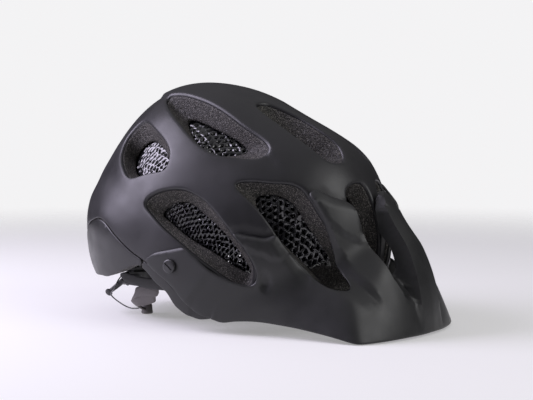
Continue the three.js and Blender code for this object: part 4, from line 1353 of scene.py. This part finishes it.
# Lines of the fit system's left side, from point to point.
HEADBAND_LINE = [[65, 67, -68], [66, 40, -61.5], [66, 14, -50], [68, -16, -38], [68, -44, -25],
                 [62, -66, -17]]
GUIDE_LINE = [[60, 27, -69], [58.6, 35, -78], [56, 47, -88], [47, 49, -93], [38, 45, -97]]
GUIDE_WEB_LINE = [[61.2, 24, -63], [60, 36, -69], [57, 49, -79], [50, 51, -88]]
GUIDE_FOOT = [33, 44]                    # place of a foot that the helmet stands on, across and fore-and-aft
LACE_LINE = [[18.6, 85.4, -79], [30, 85, -80], [44, 80.5, -84], [52, 76, -90], [51, 78, -97], [47, 70, -101],
             [42, 58, -102], [39, 50.5, -98.5]]
LACE_THICKNESS = 1.2
CRADLE_LINE = [[0, 82, -86], [24, 81, -84], [44, 74, -79], [58, 62, -72], [62.5, 44, -64], [62.5, 26, -57]]
POST_LINE = [[44, 75, -81], [45, 80, -91], [45.5, 84, -98]]
GUSSET_LINE = [[40, 77, -80], [43.5, 79, -86], [45, 80.5, -92]]


def build_fit_system():
    for word, side in SIDES.items():
        arm = spline(on_side(side, HEADBAND_LINE), density=8)
        shape = sweep(arm, tapered(lambda u: 8 + 3 * math.sin(math.pi * u), 1.6), [0, 0, 1])
        place("headband_strip_" + word, shape, FIT_FINISH, "headband_arm_" + word, 50)
        build_lace_guide(word, side)
        build_lace(word, side)
    build_cradle()
    build_dial()


def build_lace_guide(word, side):
    """A grey-brown arm that carries the lace to a round foot."""
    line = spline(on_side(side, GUIDE_LINE), density=10)
    arm = sweep(line, tapered(lambda u: 12 - 5 * u ** 0.6, 2.4, 3.5, 0.08), [0, 1, 0.1])
    web_line = spline(on_side(side, GUIDE_WEB_LINE), density=10)
    web = sweep(web_line, tapered(10, 2.2, 3.5, 0.1), [0, 0, 1])
    up = tilted_up()
    x, y = GUIDE_FOOT
    ground = -(DOME_CENTRE[2] + y * math.sin(PITCH)) / math.cos(PITCH)
    base = np.array([side * x, y, ground])
    profile = [(0, 0), (4.9, 0), (5.4, 0.5), (5.5, 1.4), (5.1, 3.2), (4.8, 8.0), (4.3, 8.8), (3.2, 9.0),
               (2.0, 8.4), (0, 8.2)]
    foot = turned_solid(profile, base, up, 40)
    shape = merged(arm, web, foot)
    place("lace_guide_arm_" + word, shape, GUIDE_FINISH, "lace_guide_" + word, 40)


def tilted_up():
    """The row frame's vertical, in the helmet frame."""
    return np.array([0, math.sin(PITCH), math.cos(PITCH)])


def build_lace(word, side):
    line = spline(on_side(side, LACE_LINE), density=8)
    shape = sweep(line, lambda u: slab(LACE_THICKNESS, LACE_THICKNESS, 2, 10), [0, 0.3, 1])
    place("lace_run_" + word, shape, LACE_FINISH, "lace_" + word, 60)


def build_cradle():
    """The rear cradle: its pierced wings, and the two posts that turn the laces."""
    line = spline(on_side(-1, CRADLE_LINE[:0:-1]) + CRADLE_LINE, density=10)
    width = lambda u: 13 - 5 * float(smooth((abs(2 * u - 1) - 0.3) / 0.3))
    body = loose("rear_cradle_wings", sweep(line, tapered(width, 2.2, 5, 0.03, 24), [0, 0, 1]))
    holes = [turned_solid([(0, -9), (2.6, -9), (2.6, 9), (0, 9)], [side * x, 81.5, -85], [0, 1, 0], 24)
             for side in SIDES.values() for x in (14, 30)]
    carved(body, merged(*holes))
    settle(body, FIT_FINISH, "rear_cradle", 40)
    for word, side in SIDES.items():
        post = spline(on_side(side, POST_LINE), density=8)
        gusset = spline(on_side(side, GUSSET_LINE), density=8)
        profile = [(0, -1.3), (3.0, -1.3), (3.6, -0.8), (3.7, 0.2), (3.3, 1.0), (2.4, 1.3), (0, 1.3)]
        shape = merged(sweep(post, lambda u: slab(5.6 - 1.6 * u, 3.4, 2.5, 16), [0, 1, 0.4]),
                       sweep(gusset, lambda u: slab(3.4 - u, 1.8, 2.5, 16), [0, 1, 0.4]),
                       turned_solid(profile, [side * 45.5, 84.5, -99], [0.9, 0.2, 0.4], 28))
        place("rear_cradle_post_" + word, shape, FIT_FINISH, "rear_cradle", 40, replaces=False)


DIAL = np.array([0.0, 90.0, -79.0])


def build_dial():
    """The ratchet housing and its knurled rubber dial."""
    profile = [(0, -6.3), (11.5, -6.3), (12.4, -5.6), (12.5, -3.4), (12.1, -2.9), (0, -2.9)]
    housing = turned_solid(profile, DIAL, [0, 1, 0], 64)
    tabs = [rounded_block((8, 3, 8), DIAL + [side * 14.0, -4.6, 0], np.eye(3), 0.8)
            for side in SIDES.values()]
    shape = merged(housing, *tabs)
    place("dial_ratchet_housing", shape, FIT_FINISH, "dial_housing", 40)
    shape = Shape()
    steps, teeth = 240, 20
    a = np.linspace(0, 2 * math.pi, steps, endpoint=False)
    tooth = 0.5 + 0.5 * np.tanh(3.0 * np.cos(a * teeth))
    # Rings of the knob: radius, height, and how deep its grip is cut.
    rings = [(0.0, -2.4, 0), (11.8, -2.4, 0), (13.6, -2.2, 0.2), (14.6, -1.2, 1), (15, 0.4, 1),
             (15, 3.8, 1), (14.7, 4.9, 1), (13.8, 5.5, 0.3), (12.0, 5.6, 0), (10.9, 5.4, 0),
             (10.4, 4.4, 0), (9.8, 4.2, 0), (4.0, 3.9, 0), (0.0, 3.9, 0)]
    rows = []
    for r, h, grip in rings:
        reach = r - 0.9 * grip * (1 - tooth)
        points = np.stack([reach * np.cos(a), np.full(steps, h), reach * np.sin(a)], -1) + DIAL
        rows.append([shape.add(points[:1])[0]] * steps if r == 0 else shape.add(points))
    shape.rings(rows)
    axle = turned_solid([(0, -6.4), (2, -6.4), (2, -2.3), (0, -2.3)], DIAL, [0, 1, 0], 24)
    shape = merged(shape, axle)
    place("dial_grip", shape, DIAL_FINISH, "dial_knob", 40)


def inside(place_on_lining):
    """A point under the cell liner: [bearing, crown angle, depth below it]."""
    bearing, theta, depth = place_on_lining
    m = map_point(bearing, theta)
    return direction(m) * (dome_radius(m, CELL_INSIDE) - depth)


def lining_basis(bearing, theta):
    """Rows along, up and out of the lining."""
    outward = direction(map_point(bearing, theta))
    along_lining = np.cross([0, 0, 1], outward)
    along_lining /= np.linalg.norm(along_lining)
    return np.array([along_lining, np.cross(outward, along_lining), outward])


def lining_block(size, spot, bevel, offset=(0, 0), segments=3):
    """A rounded block lying flat on the lining, moved along and up it by offset."""
    basis = lining_basis(*spot[:2])
    centre = inside(spot) + basis[0] * offset[0] + basis[1] * offset[1]
    return rounded_block(size, centre, basis, bevel, segments)


# ---- Soft pads ----
PAD_PRESSURE = 4
PAD_MASS = 0.1
PAD_FRAMES = 20


def swollen(obj, voxel, cap):
    """Fills a closed mesh like a stuffed pad, by cloth simulation under pressure."""
    mesher = obj.modifiers.new("mesher", "REMESH")
    mesher.mode = "VOXEL"
    mesher.voxel_size = voxel
    applied(obj)
    start = np.array([v.co for v in obj.data.vertices])
    cloth = obj.modifiers.new("stuffing", "CLOTH")
    cloth.settings.use_pressure = True
    cloth.settings.uniform_pressure_force = PAD_PRESSURE
    cloth.settings.effector_weights.gravity = 0
    cloth.settings.mass = PAD_MASS
    for step in range(1, PAD_FRAMES + 1):
        bpy.context.scene.frame_set(step)
    applied(obj)
    move = np.array([v.co for v in obj.data.vertices]) - start
    length = np.maximum(np.linalg.norm(move, axis=1, keepdims=True), 1e-9)
    moved = start + move * np.minimum(1, cap / length)
    obj.data.vertices.foreach_set("co", moved.ravel())
    bpy.context.scene.frame_set(1)
    finer = obj.modifiers.new("finer", "SUBSURF")
    finer.levels = 1
    applied(obj)


def pressed(obj, lines, depth, width):
    """Sewn channels: pushes the surface in along lines of helmet-frame points, depth and width in mm."""
    spots = np.concatenate([np.asarray(line, float) for line in lines])
    tree = KDTree(len(spots))
    for i, spot in enumerate(world(spots)):
        tree.insert(spot, i)
    tree.balance()
    for vertex in obj.data.vertices:
        away = tree.find(vertex.co)[2] * 1000
        vertex.co -= vertex.normal * (depth * 0.001 * math.exp(-((away / width) ** 2)))


def region(bearings, thetas, round_off):
    """A rounded map outline between two bearings and two crown angles."""
    (b0, b1), (t0, t1) = bearings, thetas
    b = np.linspace(b0, b1, 24)
    t = np.linspace(t0, t1, 8)
    sides = [map_point(b, t0), map_point(b1, t), map_point(b[::-1], t1), map_point(b0, t[::-1])]
    loop = np.concatenate([side[:-1] for side in sides])
    return softened(evenly(loop, 96, closed=True), round_off)


LINING_PADS = {
    "brow_pad": ([-41, 41], [66.6, 72.4], 4, [-28, -14, 0, 14, 28], []),
    "crown_pad_front": ([-23, 23], [27, 47], 10, [-8, 8], [37]),
    "crown_pad_rear": ([155, 205], [27, 47], 10, [172, 188], [37]),
    "temple_pad_right": ([-69, -43], [47, 63], 8, [], [55]),
    "temple_pad_left": ([43, 69], [47, 63], 8, [], [55]),
    "side_pad_right": ([-131, -107], [51, 67], 8, [], [59]),
    "side_pad_left": ([107, 131], [51, 67], 8, [], [59]),
}


def build_lining_pads():
    """Knit-covered foam pads, each with sewn channels and a bound edge."""
    for node, (bearings, thetas, corner, ribs, rows) in LINING_PADS.items():
        face = lambda m: dome_radius(m, CELL_INSIDE) - PAD_LIFT - 1.0
        border = region(bearings, thetas, corner)
        start = dome_sheet(shifted(turned(border, True), 0.5), [], face, 3.0, 2.2, ROUND_EDGE)
        obj = loose(node + "_cushion", start)
        swollen(obj, voxel=0.0019, cap=0.00095)
        depth = PAD_LIFT + PAD_THICKNESS
        t = np.linspace(thetas[0] + 1.5, thetas[1] - 1.5, 40)
        b = np.linspace(bearings[0] + 2.5, bearings[1] - 2.5, 90)
        lines = [[inside([rib, theta, depth]) for theta in t] for rib in ribs]
        lines += [[inside([bearing, row, depth]) for bearing in b] for row in rows]
        pressed(obj, lines, 1.5, 1.5)
        settle(obj, PAD_FINISH, node, 80)
        edge = on_map(border, dome_radius(border, CELL_INSIDE) - PAD_LIFT - 2.5)
        binding = ring_sweep(edge, 0.75)
        place(node + "_binding", binding, BINDING_FINISH, node, 80, replaces=False)


def ring_sweep(loop, radius, count=10):
    """A closed round cord along a loop of helmet-frame points."""
    loop = np.asarray(loop, float)
    shape = Shape()
    ahead = np.roll(loop, -1, 0) - np.roll(loop, 1, 0)
    ahead /= np.linalg.norm(ahead, axis=1, keepdims=True)
    a = np.linspace(0, 2 * math.pi, count, endpoint=False)[:, None]
    rows = []
    for p, t in zip(loop, ahead):
        out = p / np.linalg.norm(p)
        side = np.cross(t, out)
        rows.append(shape.add(p + radius * (np.cos(a) * side + np.sin(a) * np.cross(side, t))))
    for k, row in enumerate(rows):
        shape.strip(row, rows[(k + 1) % len(rows)])
    return shape


def build_occipital_pads():
    for word, side in SIDES.items():
        line = spline(on_side(side, OCCIPITAL_LINE), density=10)
        obj = loose("occipital_cushion_" + word, sweep(line, tapered(10.6, 1.9, 3, 0.08, 24), [0, 0, 1]))
        swollen(obj, voxel=0.0011, cap=0.0006)
        ribs = [[p + [0, -1.6, z] for z in np.linspace(-4, 4, 16)] for p in line[8:-6:6]]
        pressed(obj, ribs, 0.7, 1.0)
        node = "occipital_pad_" + word
        settle(obj, PAD_FINISH, node, 80)


def build_chin_pad():
    line = spline([inside([STRAP_BEARING, theta, 10.4]) for theta in (50.6, 44, 36.4)], density=12)
    obj = loose("chin_cushion", sweep(line, tapered(18.4, 2.6, 3, 0.1, 24), flat_on_lining))
    swollen(obj, voxel=0.0013, cap=0.0008)
    ribs = [[inside([STRAP_BEARING + b, theta, 12.4]) for b in np.linspace(-7, 7, 24)]
            for theta in (47, 43.5, 40)]
    pressed(obj, ribs, 0.9, 1.1)
    settle(obj, PAD_FINISH, "chin_pad", 80)


# ---- Straps ----
def flat_on_lining(p, t):
    return np.cross(t, p)


def ribbon(width, thickness):
    """A webbing section with thicker, rounded selvedges."""
    x = np.array([1, 0.985, 0.94, 0.88, 0.8, 0.5, 0, -0.5, -0.8, -0.88, -0.94, -0.985, -1]) * width / 2
    rise = np.array([0, 0.36, 0.5, 0.46, 0.4, 0.4, 0.42, 0.4, 0.4, 0.46, 0.5, 0.36, 0]) * thickness
    return np.concatenate([np.stack([x, rise], -1), np.stack([x[-2:0:-1], -rise[-2:0:-1]], -1)])


def stitched(line, across, start, end, rows):
    """Rows of raised thread stitches on both faces of a strap, between two fractions of its line."""
    shapes = []
    line = np.asarray(line, float)
    ahead = np.gradient(line, axis=0)
    for u in np.arange(start, end, 0.045):
        k = u * (len(line) - 1)
        i = int(k)
        p = line[i] + (line[i + 1] - line[i]) * (k - i)
        t = ahead[i] / np.linalg.norm(ahead[i])
        side, normal = crosswise(p, t, across)
        for row in rows:
            for face in (1, -1):
                spot = p + side * row * WEBBING_WIDTH + normal * face * WEBBING_THICKNESS * 0.5
                shapes.append(rounded_block((1.5, 0.5, 0.3), spot, [t, side, normal], 0.12, 1))
    return shapes


WEBBING_WIDTH = 15.0
WEBBING_THICKNESS = 1.2
STRAP_BEARING = 88                       # bearing of the chin straps, dividers and keepers
ANCHOR_ANGLE = 80                        # crown angle of the anchors and dividers
ANCHOR_BEARINGS = {"front": 58, "rear": 128}
BUCKLE = (17, 0, 86)                     # middle of the buckle's socket


def build_strap(name, node, line, across, ends=((0.02, 0.3),)):
    """A strap, and its stitches between the given fractions of its line."""
    strap = sweep(line, lambda u: ribbon(WEBBING_WIDTH, WEBBING_THICKNESS), across)
    place(name, strap, WEBBING_FINISH, node, 60)
    shapes = []
    for start, end in ends:
        shapes += stitched(line, across, start, end, (-0.4, 0.4, 0))
    thread = merged(*shapes)
    place(name + "_stitches", thread, THREAD_FINISH, node, 60, replaces=False)


# The strap legs between anchor and divider: [bearing, depth under the lining].
STRAP_LEGS = {
    "front": [(64, 5.6), (71, 6), (78, 6.4)],
    "rear": [(122, 5.6), (110, 6), (98, 6.4)],
}


def build_straps():
    for word, side in SIDES.items():
        for leg, places in STRAP_LEGS.items():
            line = spline([inside([side * b, ANCHOR_ANGLE, d]) for b, d in places], density=10)
            build_strap(f"{leg}_leg_webbing_{word}", f"strap_{leg}_{word}", line, flat_on_lining)
        chin = [inside([side * STRAP_BEARING, theta, 7]) for theta in (64, 52, 38, 26)]
        chin += [[side * 31.7, 0, 86]]
        build_strap("chin_webbing_" + word, "chin_strap_" + word, spline(chin, density=12), [0, 1, 0],
                    ends=((0.01, 0.14), (0.8, 0.97)))


# ---- Strap hardware ----
def build_anchors():
    for word, side in SIDES.items():
        for leg, bearing in ANCHOR_BEARINGS.items():
            node = f"strap_anchor_{leg}_{word}"
            spot = [side * bearing, ANCHOR_ANGLE, 6]
            plate = loose(node + "_plate", lining_block((18, 9, 3), spot, 0.9))
            carved(plate, lining_block((15.6, 1.8, 6), spot, 0.3, (0, -2.2), 1))
            basis = lining_basis(side * bearing, ANCHOR_ANGLE)
            head = inside([side * bearing, ANCHOR_ANGLE, 7.3]) + basis[1] * 1.6
            profile = [(0, 0.9), (1.7, 0.7), (2.1, 0.2), (2.2, -0.3), (0, -0.3)]
            rivet = turned_solid(profile, head, -basis[2], 24)
            settle(plate, FIT_FINISH, node, 40)
            place(f"{node}_rivet", rivet, NUT_FINISH, node, 40, replaces=False)


def build_dividers():
    """Strap dividers with their flip levers, and the keepers for the strap's tail."""
    for word, side in SIDES.items():
        bearing = side * STRAP_BEARING
        node = "strap_divider_" + word
        spot = [bearing, ANCHOR_ANGLE, 6.6]
        frame_piece = loose("divider_frame_" + word, lining_block((24, 22, 5), spot, 1.5))
        tools = [lining_block((14, 14, 3), [bearing, ANCHOR_ANGLE, 8.9], 0.4)]
        tools += [lining_block((2.6, 16, 9), spot, 0.8, (x, 0), 2) for x in (-9.4, 9.4)]
        carved(frame_piece, *tools)
        settle(frame_piece, BUCKLE_FINISH, node, 40)
        node = "divider_lever_" + word
        ribs = [lining_block((9, 0.8, 0.5), [bearing, ANCHOR_ANGLE, 9.9], 0.2, (0, y), 1)
                for y in (-4.4, -3, -1.6)]
        lever = merged(lining_block((13, 13, 1.8), [bearing, ANCHOR_ANGLE, 9], 0.6), *ribs)
        place("divider_thumb_lever_" + word, lever, BUCKLE_FINISH, node, 40)
        node = "strap_keeper_" + word
        ring = loose("keeper_loop_" + word, lining_block((20, 6, 5.2), [bearing, 60, 7.1], 1.2))
        carved(ring, lining_block((17, 20, 3.2), [bearing, 60, 7.1], 0.5))
        settle(ring, DIAL_FINISH, node, 40)


def build_buckle():
    """The side-release buckle: socket, tongued plug and its button."""
    x, y, z = BUCKLE
    square = np.eye(3)
    socket = loose("buckle_socket_shell", rounded_block((27, 24, 8), (x, y, z), square, 2.0, 4))
    tools = [rounded_block((20.4, 17, 3.4), (x - 5, y, z + 0.6), square, 0.4, 1),
             rounded_block((11.8, 13.8, 5), (x, y, z - 4), square, 0.8, 2),
             rounded_block((2.6, 16, 12), (x + 10.2, y, z), square, 0.8, 2)]
    carved(socket, *tools)
    settle(socket, BUCKLE_FINISH, "buckle_socket", 40)
    grip = rounded_block((26.6, 24, 8), (-13.6, y, z), square, 2.0, 4)
    plug = loose("buckle_plug_tongue", grip)
    waists = [rounded_block((14, 3, 12), (-12, end, z), square, 1.2, 3) for end in (13, -13)]
    carved(plug, rounded_block((2.6, 16, 12), (-23.4, y, z), square, 0.8, 2), *waists)
    settle(plug, BUCKLE_FINISH, "buckle_plug", 40)
    tongue = rounded_block((22, 16, 2.6), (9, y, z + 0.6), square, 0.9, 3)
    place("buckle_tongue", tongue, BUCKLE_FINISH, "buckle_plug", 40, replaces=False)
    ribs = [rounded_block((0.9, 9, 0.6), (x + dx, y, z - 6.1), square, 0.25, 2) for dx in (-3, -1, 1, 3)]
    button = merged(rounded_block((11, 13, 2.4), (x, y, z - 4.9), square, 0.8, 3), *ribs)
    place("buckle_release_button", button, DIAL_FINISH, "buckle_button", 40)


# ---- Height adjustment and nuts ----
def build_height_parts():
    line = spline([[0, 85.3, -62.6], [0, 91, -50], [0, 97, -34]], density=16)
    strip = loose("height_strip_blade", sweep(line, tapered(12, 1.8, 5, 0.06, 28), [1, 0, 0]))
    holes = [turned_solid([(0, -20), (1.8, -20), (1.8, 20), (0, 20)], [0, 90, z], [0, 1, 0], 24)
             for z in (-57, -50, -43)]
    carved(strip, merged(*holes))
    settle(strip, FIT_FINISH, "height_strip", 40)
    line = spline([[0, 97.5, -52], [0, 101, -42], [0, 104.5, -28]], density=16)
    rail = sweep(line, tapered(20, 1.8, 6, 0.05, 28), [1, 0, 0])
    lips = [sweep(line[2:-2] + [x, -0.5, -0.2], lambda u: slab(1.4, 1.7, 3, 12), [1, 0, 0])
            for x in (-8.6, 8.6)]
    notches = [rounded_block((7, 0.8, 1), p + [0, -0.9, -0.3], np.eye(3), 0.25, 1) for p in line[8:-8:4]]
    shape = merged(rail, *lips, *notches)
    place("height_rail_track", shape, FIT_FINISH, "height_rail", 40)


NUT_ENDS = (96.6, 103.4)                 # distances of the nuts' faces from the middle plane


def build_nuts():
    """Hexagon nuts with chamfered ends and a threaded bore."""
    a = np.linspace(0, 2 * math.pi, 72, endpoint=False)
    flat = np.abs((np.degrees(a) % 60) - 30)
    across = 6 * math.cos(math.radians(30)) / np.cos(np.radians(30 - flat))
    low, high = NUT_ENDS
    rings = [(low, 0), (low + 0.5, 1), (high - 0.5, 1), (high, 0)]
    bore = [(high - 0.05, 3.1), (high - 0.4, 2.75)]
    threads = int((high - low - 1.2) / 0.4)
    bore += [(high - 0.6 - 0.4 * k, 2.7 if k % 2 else 2.95) for k in range(threads)]
    bore += [(low + 0.4, 2.75), (low + 0.05, 3.1)]
    for word, side in SIDES.items():
        shape = Shape()
        rows = []
        for x, full in rings:
            r = across if full else np.minimum(across, 5.35)
            rows.append(shape.add(nut_ring(side * x, r, a)))
        for x, r in bore:
            rows.append(shape.add(nut_ring(side * x, np.full(72, r), a)))
        for k, row in enumerate(rows):
            shape.strip(row, rows[(k + 1) % len(rows)])
        place("hex_nut_" + word, shape, NUT_FINISH, "visor_nut_" + word, 30)


def nut_ring(x, r, a):
    return np.stack([np.full(len(a), x), PIVOT[1] + r * np.cos(a), PIVOT[2] + r * np.sin(a)], -1)


# ---- Floor, light and camera ----
def build_floor():
    """A pale round floor that fades out at its rim."""
    mesh = bpy.data.meshes.new("floor")
    bm = bmesh.new()
    bmesh.ops.create_circle(bm, cap_ends=True, segments=96, radius=1.6)
    bm.to_mesh(mesh)
    bm.free()
    floor = bpy.data.objects.new("floor", mesh)
    floor.location.z = -0.0005
    bpy.context.scene.collection.objects.link(floor)
    material = bpy.data.materials.new("floor_paper")
    material.use_nodes = True
    tree = material.node_tree
    shader = tree.nodes["Principled BSDF"]
    shader.inputs["Base Color"].default_value = (0.66, 0.655, 0.66, 1)
    shader.inputs["Roughness"].default_value = 0.6
    shader.inputs["Emission Color"].default_value = (1, 0.99, 1, 1)
    shader.inputs["Emission Strength"].default_value = 0.3
    clear = tree.nodes.new("ShaderNodeBsdfTransparent")
    mix = tree.nodes.new("ShaderNodeMixShader")
    place_node = tree.nodes.new("ShaderNodeTexCoord")
    length = tree.nodes.new("ShaderNodeVectorMath")
    length.operation = "LENGTH"
    ramp = tree.nodes.new("ShaderNodeMapRange")
    ramp.inputs["From Min"].default_value = 0.7
    ramp.inputs["From Max"].default_value = 1.5
    ramp.interpolation_type = "SMOOTHSTEP"
    tree.links.new(place_node.outputs["Object"], length.inputs[0])
    tree.links.new(length.outputs["Value"], ramp.inputs["Value"])
    tree.links.new(ramp.outputs["Result"], mix.inputs["Fac"])
    tree.links.new(shader.outputs[0], mix.inputs[1])
    tree.links.new(clear.outputs[0], mix.inputs[2])
    tree.links.new(mix.outputs[0], tree.nodes["Material Output"].inputs["Surface"])
    mesh.materials.append(material)


def aimed(obj, azimuth, elevation, distance, target):
    """Puts a light or camera at a distance from its target, facing it. Azimuth 0 is in front."""
    a, e = math.radians(azimuth), math.radians(elevation)
    back = Vector((math.sin(a) * math.cos(e), -math.cos(a) * math.cos(e), math.sin(e)))
    obj.location = Vector(target) + back * distance
    obj.rotation_euler = back.to_track_quat("Z", "Y").to_euler()
    bpy.context.scene.collection.objects.link(obj)


def soft_light(name, azimuth, elevation, distance, size, energy, colour, target):
    """A rectangular soft light, placed round the helmet as the views are."""
    data = bpy.data.lights.new(name, "AREA")
    data.shape = "RECTANGLE"
    data.size, data.size_y = size
    data.energy = energy
    data.color = colour
    aimed(bpy.data.objects.new(name, data), azimuth, elevation, distance, target)


def build_light():
    """A white backdrop, with a studio that is bright overhead and dim at the sides."""
    scene_world = bpy.data.worlds.new("studio")
    bpy.context.scene.world = scene_world
    scene_world.use_nodes = True
    tree = scene_world.node_tree
    backdrop = tree.nodes["Background"]
    backdrop.inputs["Color"].default_value = (0.9, 0.895, 0.905, 1)
    room = tree.nodes.new("ShaderNodeBackground")
    spot = tree.nodes.new("ShaderNodeTexCoord")
    split = tree.nodes.new("ShaderNodeSeparateXYZ")
    ramp = tree.nodes.new("ShaderNodeValToRGB")
    seen = tree.nodes.new("ShaderNodeLightPath")
    mix = tree.nodes.new("ShaderNodeMixShader")
    levels = [(0.0, 0.04), (0.3, 0.07), (0.7, 0.28), (1.0, 0.5)]
    for place_on_ramp, level in levels[1:-1]:
        ramp.color_ramp.elements.new(place_on_ramp)
    for element, (place_on_ramp, level) in zip(ramp.color_ramp.elements, levels):
        element.position = place_on_ramp
        element.color = (level, level * 0.99, level * 1.02, 1)
    tree.links.new(spot.outputs["Generated"], split.inputs[0])
    tree.links.new(split.outputs["Z"], ramp.inputs["Fac"])
    tree.links.new(ramp.outputs["Color"], room.inputs["Color"])
    tree.links.new(seen.outputs["Is Camera Ray"], mix.inputs["Fac"])
    tree.links.new(room.outputs[0], mix.inputs[1])
    tree.links.new(backdrop.outputs[0], mix.inputs[2])
    tree.links.new(mix.outputs[0], tree.nodes["World Output"].inputs["Surface"])
    middle = (0, 0, 0.11)
    soft_light("rear_left_softbox", -148, 31, 1.1, (0.7, 0.9), 16, (0.86, 0.8, 1.0), middle)
    soft_light("front_softbox", -2, 28, 1.5, (1.0, 0.9), 8, (1, 1, 1), middle)
    bpy.context.scene.view_settings.view_transform = "Standard"


CAMERA = {"azimuth": -58, "elevation": 4, "distance": 1.355, "lens": 99.3, "target": (0, -0.0087, 0.1098)}


def build_camera():
    data = bpy.data.cameras.new("camera")
    data.sensor_width = 36
    data.lens = CAMERA["lens"]
    data.clip_start, data.clip_end = 0.05, 20
    camera = bpy.data.objects.new("camera", data)
    aimed(camera, CAMERA["azimuth"], CAMERA["elevation"], CAMERA["distance"], CAMERA["target"])
    bpy.context.scene.camera = camera


build_camera()
build_floor()
build_light()
build_shells()
build_foam()
build_cells()
build_visor()
build_screws()
build_fit_system()
build_nuts()
build_height_parts()
build_lining_pads()
build_occipital_pads()
build_chin_pad()
build_straps()
build_anchors()
build_dividers()
build_buckle()
